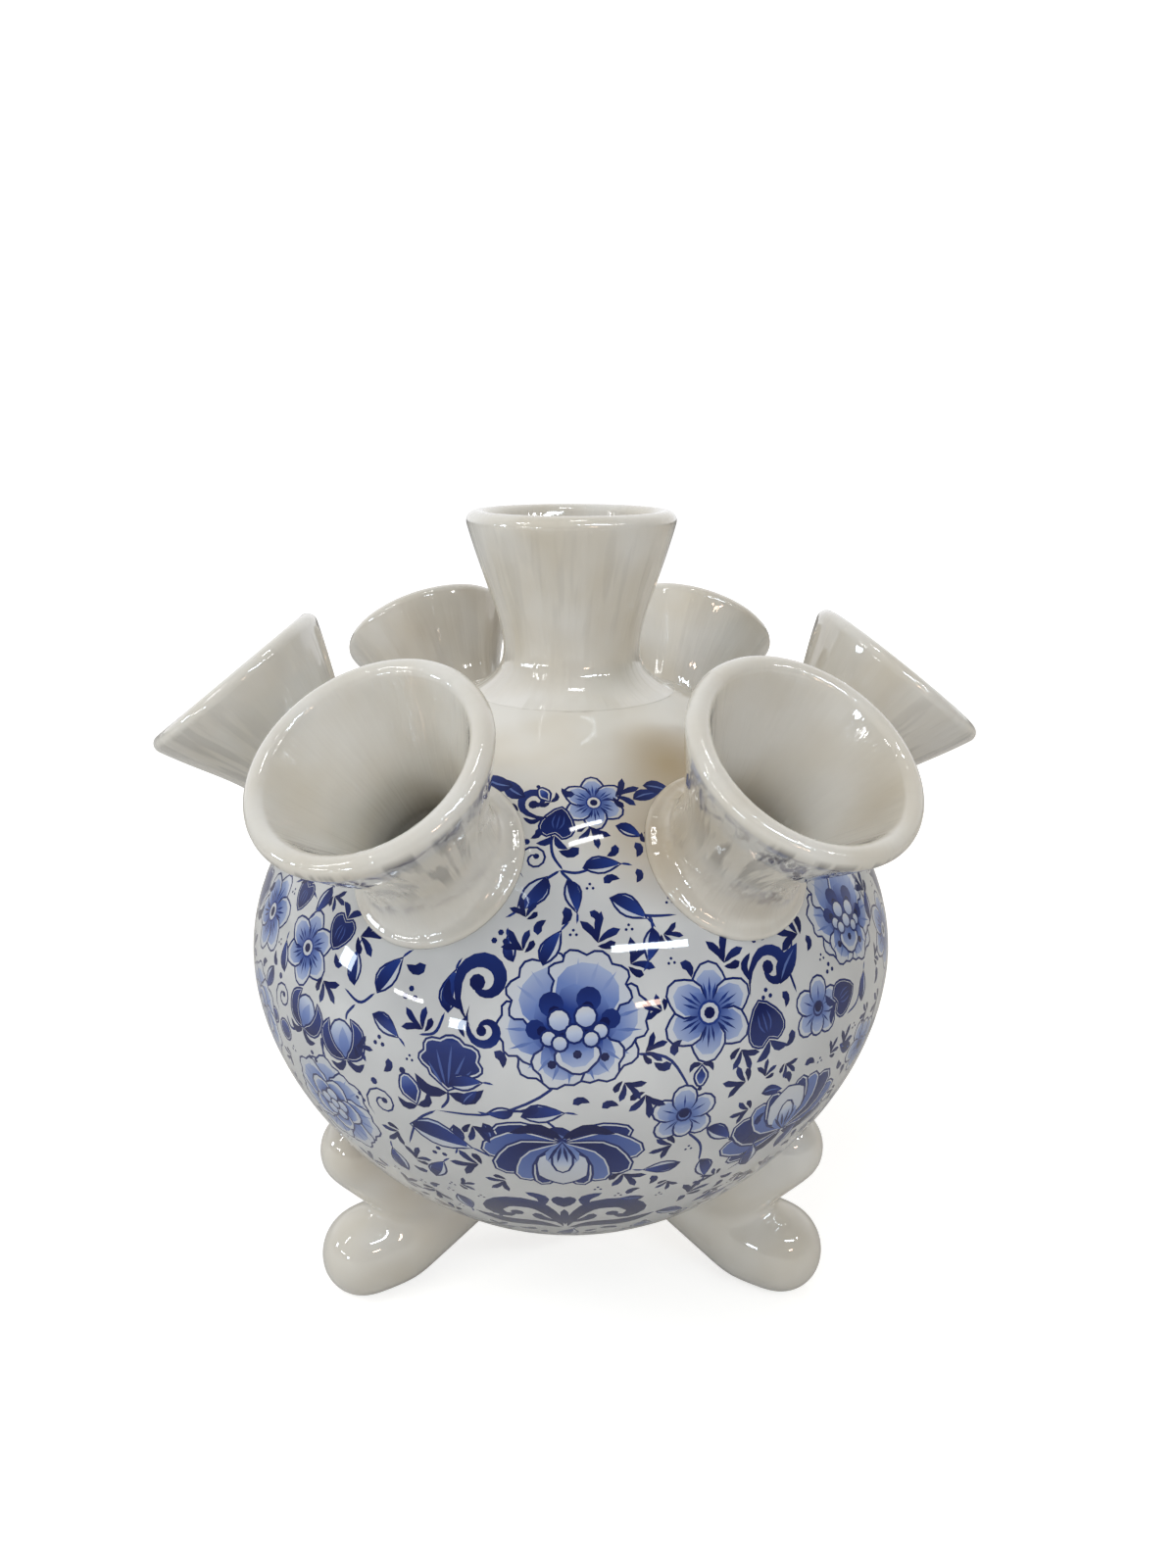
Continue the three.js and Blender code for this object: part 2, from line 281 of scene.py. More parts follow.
ground = add_node(
    tree, "Mix", data_type="RGBA",
    links={
        MIX_FACTOR: dome.outputs["Result"],
        MIX_FIRST: glaze_colour(tree, place, COOL_WHITE),
        MIX_SECOND: glaze_colour(tree, place, CREAM),
    },
)
painted_glaze = add_node(
    tree, "Mix", data_type="RGBA",
    links={
        MIX_FACTOR: cover.outputs["Result"],
        MIX_FIRST: ground.outputs[MIX_RESULT],
        MIX_SECOND: ramp.outputs["Color"],
    },
)
tree.links.new(painted_glaze.outputs[MIX_RESULT], shader.inputs["Base Color"])
print(printed_glaze.name, "has", len(tree.nodes), "nodes")

# %% [markdown]
# The globe was thrown on a wheel, so one meridian describes it: two curves that meet at the widest
# ring, flat at the underside and at the crown. Its length along the clay, counted from the widest
# ring, and the way round, counted at the widest ring, are the two measures of a flat sheet that can
# be wrapped round the globe. The decoration is laid out on that sheet.

# %% The globe's meridian
GLOBE_RADIUS = 69.0
UNDERSIDE = 10.5
WIDEST = 77.9
CROWN = 136.9
GLOBE_WALL = 4.5
LOWER_CURVE = ((0, UNDERSIDE), (36, UNDERSIDE), (GLOBE_RADIUS, 49.1), (GLOBE_RADIUS, WIDEST))
UPPER_CURVE = ((GLOBE_RADIUS, WIDEST), (GLOBE_RADIUS, 110.7), (25.5, CROWN), (0, CROWN))
CURVE_POINTS = 600


def bezier(points, count):
    """Points on a cubic curve in the plane."""
    t = np.linspace(0, 1, count)[:, None]
    a, b, c, d = (np.array(p, float) for p in points)
    return (1 - t) ** 3 * a + 3 * t * (1 - t) ** 2 * b + 3 * t**2 * (1 - t) * c + t**3 * d


meridian = np.vstack([bezier(LOWER_CURVE, CURVE_POINTS), bezier(UPPER_CURVE, CURVE_POINTS)[1:]])
RADII, HEIGHTS = meridian.T
ARC = np.concatenate([[0], np.cumsum(np.hypot(np.diff(RADII), np.diff(HEIGHTS)))])
ARC = ARC - np.interp(WIDEST, HEIGHTS, ARC)
SLOPE_R = np.gradient(RADII, ARC)
SLOPE_Z = np.gradient(HEIGHTS, ARC)
print("the meridian runs from", round(ARC[0], 1), "to", round(ARC[-1], 1), "mm")


def on_globe(sheet_points, depth=0.0):
    """Wraps points of the sheet round the globe, at a depth under its skin, with their normals."""
    x, y = np.asarray(sheet_points, float).T
    turn = x / GLOBE_RADIUS
    out_r = np.interp(y, ARC, SLOPE_Z)
    out_z = -np.interp(y, ARC, SLOPE_R)
    length = np.hypot(out_r, out_z)
    out_r, out_z = out_r / length, out_z / length
    r = np.interp(y, ARC, RADII) - depth * out_r
    z = np.interp(y, ARC, HEIGHTS) - depth * out_z
    points = np.column_stack([r * np.sin(turn), -r * np.cos(turn), z])
    normals = np.column_stack([out_r * np.sin(turn), -out_r * np.cos(turn), out_z])
    return points, normals


# %% [markdown]
# Each side spout stands square on the shoulder, tilted 38 degrees. Its bore goes through the globe's
# wall, and its clay is luted to the globe along a ring. Both rings are where a cylinder about the
# spout's axis meets the globe, found by halving.

# %% Where a spout's cylinder meets the globe
SPOUT_COUNT = 6
SPOUT_TILT = math.radians(38.3)
SPOUT_SEAT = Vector((52.355, 0, 112.544))
BORE_RADIUS = 8.7
RING_STEPS = 96
BELOW_SEAT, ABOVE_SEAT = 25.0, 20.0  # mm, where to look for the ring
HALVINGS = 40


def spout_place(index):
    """The matrix that stands a spout, made upright at the origin, on its seat."""
    turn = Matrix.Rotation(math.tau * index / SPOUT_COUNT, 4, "Z")
    return turn @ Matrix.Translation(SPOUT_SEAT) @ Matrix.Rotation(SPOUT_TILT, 4, "Y")


def skin_curve(depth):
    """The heights and radii of the globe's skin at a depth."""
    skin, _ = on_globe(np.column_stack([np.zeros(len(ARC)), ARC]), depth)
    return skin[:, 2], -skin[:, 1]


def on_cylinder(radius, angles, heights, place):
    """Points on a cylinder that stands at a place."""
    upright = [radius * np.cos(angles), radius * np.sin(angles), heights, np.ones(len(angles))]
    return np.column_stack(upright) @ np.array(place).T


def heights_on_globe(radius, angles, depth, place):
    """Heights along an axis, above its seat, at which a cylinder meets the globe's skin at a depth."""
    skin_z, skin_r = skin_curve(depth)
    low, high = np.full(len(angles), -BELOW_SEAT), np.full(len(angles), ABOVE_SEAT)
    for _ in range(HALVINGS):
        middle = (low + high) / 2
        world = on_cylinder(radius, angles, middle, place)
        inside = np.hypot(world[:, 0], world[:, 1]) < np.interp(world[:, 2], skin_z, skin_r)
        low, high = np.where(inside, middle, low), np.where(inside, high, middle)
    return (low + high) / 2


ring_angles = np.linspace(0, math.tau, RING_STEPS, endpoint=False)
ring_heights = heights_on_globe(BORE_RADIUS, ring_angles, 0.0, spout_place(0))
print("the bore's ring rises", np.ptp(ring_heights).round(2), "mm along the spout's axis")

# %% Rings of the bores on the flat sheet


def ring_on_sheet(index, radius, depth=0.0, steps=32):
    """A spout's ring on the globe, as a closed outline on the sheet."""
    angles = np.linspace(0, math.tau, steps, endpoint=False)
    heights = heights_on_globe(radius, angles, depth, spout_place(0))
    world = on_cylinder(radius, angles, heights, spout_place(index))
    x = GLOBE_RADIUS * np.arctan2(world[:, 0], -world[:, 1])
    return np.column_stack([x, np.interp(world[:, 2], skin_curve(depth)[0], ARC)])


print("spout 6 is centred at", ring_on_sheet(5, BORE_RADIUS).mean(axis=0).round(1), "on the sheet")

# %% [markdown]
# The sheet is cut into triangles by a constrained Delaunay triangulation, which keeps the edge of
# every brushed shape as a real edge in the mesh. That gives crisp brushwork at any distance with no
# image, and costs few triangles where the glaze is plain. No bmesh operator cuts overlapping outlines
# into one skin, so this one piece starts from the triangulation's own lists. Each triangle takes the
# amount of cobalt of the last shape painted over it, and each corner its place in that shape's wash.

# %% The sheet's size and its grid
HALF_TURN = math.pi * GLOBE_RADIUS
NECK_BORE = 10.0
UNDERSIDE_HOLE = 6.0
GRID = 3.4  # mm between points on the skin
LEAST_IN_ROW = 16
MEASURED_ROWS = 800
SAME_SPOT = 0.002  # mm, closer points of two outlines become one


def arc_of_radius(radius, depth, upper):
    """How far along the clay the skin at a depth has this radius, above or below the widest ring."""
    rows = np.linspace(0, ARC[-1] if upper else ARC[0], MEASURED_ROWS)
    skin, _ = on_globe(np.column_stack([np.zeros(MEASURED_ROWS), rows]), depth)
    return float(np.interp(-radius, skin[:, 1], rows))


def grid_rows(depth, spacing):
    """Rows of evenly spaced points, and the sheet's own edge with a point at each row's end."""
    low = arc_of_radius(UNDERSIDE_HOLE, depth, upper=False)
    high = arc_of_radius(NECK_BORE, depth, upper=True)
    rows = np.linspace(low, high, 1 + round((high - low) / spacing))
    counts = [max(LEAST_IN_ROW, round(math.tau * np.interp(y, ARC, RADII) / spacing)) for y in rows]
    inside = []
    for number, (y, count) in enumerate(zip(rows[1:-1], counts[1:-1])):
        shift = 0.5 if number % 2 else 1.0
        x = -HALF_TURN + 2 * HALF_TURN * (np.arange(count - (shift == 1.0)) + shift) / count
        inside.append(np.column_stack([x, np.full(len(x), y)]))
    bottom = [(x, low) for x in np.linspace(-HALF_TURN, HALF_TURN, counts[0] + 1)]
    top = [(x, high) for x in np.linspace(HALF_TURN, -HALF_TURN, counts[-1] + 1)]
    right = [(HALF_TURN, y) for y in rows[1:-1]]
    left = [(-HALF_TURN, y) for y in rows[-2:0:-1]]
    return bottom + right + top + left, np.vstack(inside)


edge, inside = grid_rows(0.0, GRID)
print("the sheet's edge has", len(edge), "points and its inside", len(inside))

# %% Cut the sheet


def cut_sheet(depth, spacing, shapes=()):
    """Triangles of the skin at a depth, and for each the last shape that covers it, or -1."""
    edge, inside = grid_rows(depth, spacing)
    holes = [ring_on_sheet(i, BORE_RADIUS, depth) for i in range(SPOUT_COUNT)]
    outlines = [edge, *holes, *shapes]
    points, faces = [], []
    for outline in outlines:
        faces.append(list(range(len(points), len(points) + len(outline))))
        points.extend(Vector((float(x), float(y))) for x, y in outline)
    points.extend(Vector((float(x), float(y))) for x, y in inside)
    flat, _, found, _, _, covers = delaunay_2d_cdt(points, [], faces, 1, SAME_SPOT, True)
    kept, tops = [], []
    for face, cover in zip(found, covers):
        if 0 in cover and not any(1 <= c <= SPOUT_COUNT for c in cover):
            kept.append(face)
            tops.append(max(cover) - SPOUT_COUNT - 1)
    return np.array([tuple(p) for p in flat]), np.array(kept), np.array(tops)


flat_inside, faces_inside, _ = cut_sheet(GLOBE_WALL, 2 * GRID)
print("the plain inner skin has", len(faces_inside), "triangles")

# %% [markdown]
# The decoration is the traditional blue and white kind: open flowers, tulips, lotus fans, leaves and
# scrolls, with small sprigs in every gap. Each motif is built here from a few formulas in its own
# square of plus and minus one, the way a pattern book builds them, and is then set on the sheet with
# a place, a turn and a size. A brushed shape has a thin dark rim, and inside it a wash that fades
# from one tone to another. A tone is an amount of cobalt, from 0 to 1.

# %% Brush basics
RIM_TONE = 0.9
HAIRLINE = 0.42  # mm, the finest line of the brush
UPRIGHT = ((0, 0), (0, 1))  # the line that a wash runs along, unless a shape has another
ROOM_USED = 0.38  # of the room across a shape, the most that a rim may take from each side
prints = []  # outline on the sheet, its place, its wash; later ones lie on top


def turned(points, degrees, shift=(0.0, 0.0), size=1.0):
    """Points turned clockwise, then scaled and shifted."""
    c, s = math.cos(math.radians(degrees)), math.sin(math.radians(degrees))
    x, y = np.asarray(points, float).T
    return np.column_stack([x * c + y * s, y * c - x * s]) * size + shift


def smooth_line(points, count, closed=False):
    """A smooth curve through the points, of the kind called Catmull-Rom."""
    p = np.array(points, float)
    ends = (p[-1:], p[:2]) if closed else (2 * p[:1] - p[1:2], 2 * p[-1:] - p[-2:-1])
    p = np.vstack([ends[0], p, ends[1]])
    spans = len(p) - 3
    t = np.linspace(0, spans, count, endpoint=not closed)
    i = np.minimum(t.astype(int), spans - 1)
    u = (t - i)[:, None]
    a, b, c, d = p[i], p[i + 1], p[i + 2], p[i + 3]
    square, cube = 2 * a - 5 * b + 4 * c - d, 3 * b - a - 3 * c + d
    return 0.5 * (2 * b + (c - a) * u + square * u**2 + cube * u**3)


def inset(outline, distance):
    """An outline drawn again inside itself, closer where the shape is narrow."""
    ahead, behind = np.roll(outline, -1, axis=0), np.roll(outline, 1, axis=0)
    along = ahead - behind
    along /= np.maximum(np.linalg.norm(along, axis=1), 1e-9)[:, None]
    gaps = np.linalg.norm(outline[:, None] - outline[None], axis=2)
    number = np.arange(len(outline))
    apart = np.abs(number[:, None] - number[None])
    near = np.minimum(apart, len(outline) - apart) <= max(2, len(outline) // 6)
    room = np.where(near, 1e9, gaps).min(axis=1)
    step = np.minimum(distance, ROOM_USED * room)[:, None]
    return outline + step * np.column_stack([-along[:, 1], along[:, 0]])


def wound(outline):
    """The same outline, run round so that its inside lies on the left."""
    outline = np.asarray(outline, float)
    area = np.cross(outline, np.roll(outline, -1, axis=0)).sum()
    return outline[::-1] if area < 0 else outline


def on_sheet(place, outline):
    """A motif's outline on the sheet, widened towards the poles so that it isn't squeezed there."""
    x, y, turn, size, mirror = place
    local = turned(np.asarray(outline, float) * (mirror, 1), turn, size=size)
    rows = y + local[:, 1]
    return np.column_stack([x + local[:, 0] * GLOBE_RADIUS / np.interp(rows, ARC, RADII), rows])


def paint(place, outline, tones, along=UPRIGHT, rim=False):
    """One brushed shape: a dark rim if it has one, and a wash from the first tone to the second."""
    outline = wound(outline)
    start, end = turned(np.array(along, float) * (place[4], 1), place[2], size=place[3])
    length = math.hypot(*(end - start))
    unit = (end - start) / length
    if rim:
        add_print(place, outline, (0, 1, 0, 1, RIM_TONE, RIM_TONE))
        outline = inset(outline, HAIRLINE / place[3])
    add_print(place, outline, (*unit, unit @ start, length, *tones))


def add_print(place, outline, wash):
    """Keeps one outline with its wash, and a copy of it where it crosses the sheet's seam."""
    points = on_sheet(place, outline)
    if place[4] < 0:
        points = points[::-1]
    prints.append((points, place[:2], wash))
    for side in (-1, 1):
        if (side * points[:, 0]).max() > HALF_TURN:
            shift = (-2 * side * HALF_TURN, 0)
            prints.append((points + shift, (place[0] + shift[0], place[1]), wash))


print("the finest brush line is", HAIRLINE, "mm")

# %% The shapes that a brush makes
ROUND_END = 0.12  # of a stroke's length


def petal(width, waves=0, depth=0.0, count=13):
    """A petal from the heart of a flower out to 1, with a crimped edge."""
    turn = np.linspace(-2.5, 2.5, count)
    swell = 1 + depth * (np.abs(np.cos(waves * turn / 2)) - 0.7)
    rounded = np.column_stack([width * np.sin(turn) * swell, 0.58 + 0.42 * np.cos(turn) * swell])
    return np.vstack([[(0, 0.02)], rounded])


def leaf(width, bend=0.0, left=1.0, right=1.0, start=0.0, end=1.0):
    """A leaf or pointed petal from 0 to 1, bent sideways towards its tip, or only part of its width."""
    t = np.linspace(start, end, 7)
    half = width * np.sin(math.pi * t**0.85)
    spine = bend * t**2
    edge = np.column_stack([spine + right * half, t])
    back = np.column_stack([spine - left * half, t])
    return np.vstack([edge, back[-2:0:-1]]) if start == 0 else np.vstack([edge, back[::-1]])


def stroke(points, widths, count=8):
    """A brush stroke with round ends: its line, and how wide the brush was pressed along it."""
    line = smooth_line(points, count)
    t = np.linspace(0, 1, count)
    wide = np.interp(t, np.linspace(0, 1, len(widths)), widths) / 2
    wide = wide * np.sqrt(np.clip(np.minimum(t, 1 - t) / ROUND_END, 0, 1))
    along = np.gradient(line, axis=0)
    side = np.column_stack([-along[:, 1], along[:, 0]]) / np.linalg.norm(along, axis=1)[:, None]
    left, right = line + side * wide[:, None], line - side * wide[:, None]
    return np.vstack([right, left[-2:0:-1]])


def disc(radius, centre=(0.0, 0.0), count=9):
    """A dab of a round brush."""
    turn = np.linspace(0, math.tau, count, endpoint=False)
    return np.column_stack([np.cos(turn), np.sin(turn)]) * radius + centre


def spiral(turns, shrink, start=0.0):
    """Points that wind in from (0, 1) clockwise about the middle."""
    t = np.linspace(0, 1, 4 + round(6 * turns))
    radius = 1 - (1 - shrink) * t**0.8
    turn = start + math.tau * turns * t
    return np.column_stack([radius * np.sin(turn), radius * np.cos(turn)])


def framed(place, outline, tones, along=UPRIGHT, margin=0.4):
    """A shape with a fine line round it, a bare margin in mm, and its wash inside that."""
    paint(place, outline, (BARE, BARE), rim=True)
    paint(place, inset(wound(outline), (HAIRLINE + margin) / place[3]), tones, along)


def one_side(place, side, *strokes):
    """Strokes given for the right side, painted on that side or, with a side of -1, on the left."""
    for points, widths, count, tones in strokes:
        paint(place, stroke(np.array(points, float) * (side, 1), widths, count), tones)


def both_sides(place, *strokes):
    """Strokes given for the right side, painted on the left and then on the right."""
    for side in (-1, 1):
        one_side(place, side, *strokes)


print("a petal has", len(petal(0.4)), "points and a leaf", len(leaf(0.3)))

# %% Flowers
PALE = 0.1  # a trace of cobalt, as in a petal's edge
BARE = 0.04
LARGE_PETAL = 9.0  # mm, from which a petal gets veins and rounder washes


def open_petal(place, width, angle, size, heart, waves, depth, streaks=0, count=13):
    """A pale petal with a fine crimped outline, and washes that spread from the flower's heart."""
    outline = turned(petal(width, waves, depth, count), angle, size=size)
    along = turned(((0, 0.25), (0, 0.9)), angle, size=size)
    paint(place, outline, (PALE, BARE), along, rim=True)
    large = size * place[3] > LARGE_PETAL
    if heart > 0.3:
        patch = turned(petal(width * 0.76, count=11 if large else 8) * (1, 0.84), angle, size=size)
        paint(place, patch, (0.5 * heart + 0.18, 0.24), turned(((0, 0.36), (0, 0.84)), angle, size=size))
        for fan in (-17, 0, 17) if large else ():
            vein = turned(((0, 0.5), (0, 0.88)), angle + fan, size=size)
            paint(place, stroke(vein, (0.02, 0.05, 0.02), 3), (0.5, 0.24))
    inner = turned(petal(width * 0.62, count=9 if large else 7) * (1, 0.56), angle, size=size)
    along = turned(((0, 0.2), (0, 0.56)), angle, size=size)
    paint(place, inner, (heart + 0.15, 0.45 * heart + 0.1), along)
    for streak in range(streaks):
        fan = angle + (streak - (streaks - 1) / 2) * 13
        long = 0.7 - 0.1 * abs(streak - (streaks - 1) / 2)
        line = turned(((0, 0.24), (0, long)), fan, size=size)
        paint(place, stroke(line, (0.03 * size, 0.06 * size, 0.03 * size), 3), (0.85, 0.6))


def whorl(place, angles, width, size=1.0, heart=0.75, waves=5, depth=0.14, streaks=0, count=15):
    """A ring of open petals."""
    for angle in angles:
        open_petal(place, width, angle, size, heart, waves, depth, streaks, count)


def pearls(place, rows):
    """Round pale petals of a half open heart, shaded at their feet."""
    for x, y, radius in rows:
        wash = ((x, y + 0.6 * radius), (x, y - radius))
        paint(place, disc(radius, (x, y), 11), (BARE, 0.34), wash, rim=True)


def peony(place):
    """Seen from above: crimped petals round a ring of pearls."""
    whorl(place, (0, 52, 103, 154, 206, 257, 308), 0.46, heart=0.72, waves=6, depth=0.2, count=19)
    whorl(place, (26, 98, 170, 242, 314), 0.46, size=0.62, heart=0.95, waves=3, count=11)
    paint(place, disc(0.3), (0.95, 0.9))
    pearls(place, ((0, 0.2, 0.16), (0.19, 0.02, 0.15), (0.1, -0.2, 0.15), (-0.13, -0.17, 0.15)))
    pearls(place, ((-0.2, 0.06, 0.15), (0, 0, 0.13)))


def rose(place):
    """A peony seen from the side: two great petals at the back, pearls, and a frill below."""
    whorl(place, (-124, 124), 0.42, size=0.9, heart=0.8, waves=6, depth=0.2, count=19)
    whorl(place, (-84, 84), 0.44, size=1.0, heart=0.75, waves=8, depth=0.2, count=23)
    whorl(place, (-29, 29), 0.54, size=1.02, heart=0.6, waves=8, depth=0.2, count=27)
    for side in (-1, 1):
        paint(place, disc(0.16, (0.24 * side, 0.34), 12), (0.78, 0.9), ((0, 0.2), (0, 0.5)))
        paint(place, disc(0.08, (0.21 * side, 0.24), 8), (0.99, 0.99))
        paint(place, disc(0.13, (0.48 * side, 0.05), 10), (0.85, 0.8))
        paint(place, disc(0.07, (0.4 * side, 0.02), 7), (0.99, 0.99))
    whorl(place, (150, 210), 0.42, size=0.84, heart=0.85, waves=5, depth=0.2, count=17)
    pearls(place, ((0.33, -0.08, 0.12), (-0.33, -0.08, 0.12), (0.17, 0.13, 0.16), (-0.17, 0.13, 0.16)))
    whorl(place, (180,), 0.5, size=0.6, heart=0.55, waves=4)
    pearls(place, ((0.2, -0.16, 0.12), (-0.2, -0.16, 0.12), (0, -0.06, 0.14)))
    for x, y in ((-0.34, -0.42), (0.34, -0.42), (0, -0.33)):
        paint(place, disc(0.06, (x, y), 7), (0.99, 0.95))


def blossom(place):
    """Six open petals round a ringed eye."""
    whorl(place, (0, 60, 120, 180, 240, 300), 0.4, heart=0.5, waves=3, depth=0.12, streaks=3, count=11)
    paint(place, disc(0.25, count=12), (0.75, 0.75))
    paint(place, disc(0.2, count=11), (BARE, BARE))
    paint(place, disc(0.12, count=9), (0.99, 0.95))


def little_blossom(place):
    """A small one seen from below, with a dark eye."""
    whorl(place, (-130, 130, -66, 66, 0), 0.42, heart=0.4, waves=2, depth=0.1, streaks=1, count=11)
    whorl(place, (180,), 0.42, size=0.8, heart=0.35, waves=2, depth=0.1, count=11)
    paint(place, disc(0.24, (0, 0.02), 10), (0.5, 0.3), rim=True)
    paint(place, disc(0.16, (0, 0.07), 9), (0.99, 0.9))


FAN = (  # for each pair of petals its angle, length, width and tone
    (98, 0.84, 0.24, 0.97),
    (76, 1.0, 0.27, 0.7),
    (54, 1.0, 0.3, 0.99),
    (34, 0.92, 0.28, 0.62),
    (17, 0.9, 0.24, 0.97),
)


def lotus(place):
    """A fan of broad petals, dark and mid blue in turn, with bare edges, round a pale tongue."""
    for angle, long, width, tone in FAN:
        for side in (-1, 1):
            outline = turned(petal(width, 3, 0.1, 11), side * angle, size=long)
            framed(place, outline, (tone, tone - 0.15), turned(((0, 0.1), (0, 1)), side * angle), 0.3)
    open_petal(place, 0.4, 0, 0.84, 0.3, 6, 0.12, count=15)
    paint(place, petal(0.24, count=9) * 0.6, (0.5, BARE), ((0, 0.15), (0, 0.5)), rim=True)
    for angle in (-26, -9, 9, 26):
        line = turned(((0, 0.1), (0, 0.4)), angle)
        paint(place, stroke(line, (0.05, 0.025), 4), (0.95, 0.8))
    both_sides(place, (((0, -0.03), (0.3, -0.17), (0.62, -0.08)), (0.08, 0.17, 0.05), 8, (0.99, 0.9)))


def tulip(place):
    """Two dark petals that clasp a pale one, on two sepals."""
    paint(place, petal(0.44, 3, 0.1), (BARE, 0.5), ((0, 1.0), (0, 0.2)), rim=True)
    paint(place, leaf(0.17, 0.05) * (1, 0.7) + (0.03, 0.12), (0.6, 0.24))
    for side in (-1, 1):
        points = ((0, 0.02), (0.42 * side, 0.24), (0.54 * side, 0.66), (0.34 * side, 1.02))
        framed(place, stroke(points, (0.2, 0.46, 0.42, 0.1), 11), (0.97, 0.75), margin=0.12)
        points = ((0, 0), (0.3 * side, -0.2), (0.58 * side, -0.06))
        paint(place, stroke(points, (0.1, 0.22, 0.04), 8), (0.95, 0.9))


def small_bud(place):
    """A closed bud between two sepals, with a dot at its tip."""
    framed(place, petal(0.34, 3, 0.12, 11), (0.95, 0.5), ((0, 0.1), (0, 1)), 0.25)
    both_sides(place, (((0, 0.02), (0.36, 0.06), (0.5, 0.36)), (0.14, 0.26, 0.06), 6, (0.97, 0.9)))
    paint(place, disc(0.1, (0, 1.06), 7), (0.95, 0.95))


HALF_HEART = ((-0.72, -0.3), (-0.86, 0.42), (-0.4, 0.8))
HEART = ((0, -1), *HALF_HEART, (0, 0.58), *[(-x, y) for x, y in HALF_HEART[::-1]])


def berry(place):
    """A ripe dark fruit with fine veins, and two leaflets at its stalk."""
    framed(place, smooth_line(HEART, 18, closed=True), (0.97, 0.86), ((0, -1), (0, 0.9)), 0.1)
    for side in (-1, 0, 1):
        points = ((0.1 * side, 0.3), (0.26 * side, -0.05), (0.2 * side, -0.5))
        paint(place, stroke(points, (0.07, 0.06), 5), (0.66, 0.7))
    both_sides(place, (((0, 0.62), (0.3, 1.05), (0.75, 1.2)), (0.1, 0.4, 0.1), 6, (0.95, 0.9)))


def lobed_leaf(place):
    """A broad dark leaf with a crimped edge, fine veins and two sepals."""
    framed(place, petal(0.56, 7, 0.16, 23), (0.97, 0.8), margin=0.3)
    for angle, long in ((-38, 0.62), (-19, 0.76), (0, 0.84), (19, 0.76), (38, 0.62)):
        line = turned(((0, 0.14), (0, long)), angle)
        paint(place, stroke(line, (0.03, 0.045, 0.02), 5), (0.66, 0.6))
    both_sides(place, (((0, 0), (0.36, -0.04), (0.6, 0.2)), (0.12, 0.24, 0.06), 6, (0.97, 0.9)))


print("the heart of the berry has", len(HEART), "points to pass through")

# %% Leaves, scrolls and small fillings


def veined_leaf(place):
    """A leaf with a fine outline, half filled from its vein."""
    paint(place, leaf(0.27, 0.2), (BARE, 0.2), ((0.3, 0), (-0.2, 0)), rim=True)
    inner = leaf(0.27, 0.2, left=0.72, right=0.42, start=0.06, end=0.9)
    paint(place, inner, (0.99, 0.66))
    tail = ((0.17, 0.93), (0.24, 1.1), (0.34, 1.24))
    paint(place, stroke(tail, (0.5 * HAIRLINE / place[3] + 0.03, HAIRLINE / place[3]), 4), (0.85, 0.8))


def dark_leaf(place):
    """A leaf in one dark stroke, with a paler vein."""
    paint(place, leaf(0.26, 0.3), (0.97, 0.78))
    paint(place, stroke(((0, 0.1), (0.05, 0.45), (0.22, 0.85)), (0.04, 0.06, 0.03), 5), (0.5, 0.55))


FINGERS = (
    ((0, 0), (-0.2, 0.32), (-0.62, 0.62)),
    ((0, 0), (0.26, 0.28), (0.66, 0.5)),
    ((0, 0), (-0.05, 0.5), (0.02, 1)),
    ((0, -0.1), (0.3, -0.06), (0.55, 0.08)),
)
WITH_THUMB = 3.4  # mm, the size from which a sprig has its thumb


def sprig(place):
    """Three fingers and a thumb on one stalk, each pressed wider towards its round tip."""
    for number, points in enumerate(FINGERS if place[3] > WITH_THUMB else FINGERS[:3]):
        paint(place, stroke(points, (0.07, 0.17, 0.27, 0.22), 6), (0.99, 0.74 if number % 2 else 0.9))


def comma(place):
    """One short stroke, pressed at its end."""
    paint(place, stroke(((0, -0.5), (0.24, 0), (0, 0.5)), (0.14, 0.5, 0.5), 6), (0.95, 0.82))


def dots(place):
    """Three dabs of the brush's tip. The finest ones make do with five corners."""
    for x, y in ((-0.6, -0.3), (0.6, -0.3), (0, 0.6)):
        paint(place, disc(0.34, (x, y), 5 if place[3] < 1 else 6), (0.92, 0.9))


def ball(place):
    """A shaded berry with a fine line round it."""
    framed(place, disc(1.0, count=12), (0.97, 0.6), ((0, -1), (0, 1)), 0.15)


def scroll(place):
    """A thick and thin volute that ends in a ball, with a spur on its back."""
    winding = turned(spiral(0.95, 0.34), -80)
    body = np.vstack([((-0.55, -1.7), (-1.02, -0.8)), winding])
    paint(place, stroke(body, (0.08, 0.42, 0.6, 0.5, 0.3, 0.24), 20), (0.97, 0.84), ((0, -1), (0, 1)))
    paint(place, disc(0.32, winding[-1] * 0.8), (0.97, 0.9))
    paint(place, stroke(((-0.8, -1.1), (-1.45, -0.6), (-1.4, 0.1)), (0.1, 0.4, 0.12), 8), (0.95, 0.85))


def curl(place):
    """A thin tendril that winds in to a dot."""
    fine = HAIRLINE / place[3]
    winding = turned(spiral(1.3, 0.22), -80)
    body = np.vstack([((-0.5, -1.3), (-0.98, -0.6)), winding])
    paint(place, stroke(body, (fine, fine), 17), (RIM_TONE, RIM_TONE))
    paint(place, disc(0.2, winding[-1], 7), (0.95, 0.9))
    paint(place, disc(0.22, (-0.6, 1.15), 7), (0.95, 0.9))


def stem(points, width=0.5):
    """A thin line through points of the sheet."""
    x, y = points[0]
    line = np.array(points, float) - points[0]
    widths = (width, width * 1.1, width * 0.8)
    paint((x, y, 0, 1, 1), stroke(line, widths, 4 + 2 * len(points)), (0.85, 0.9))


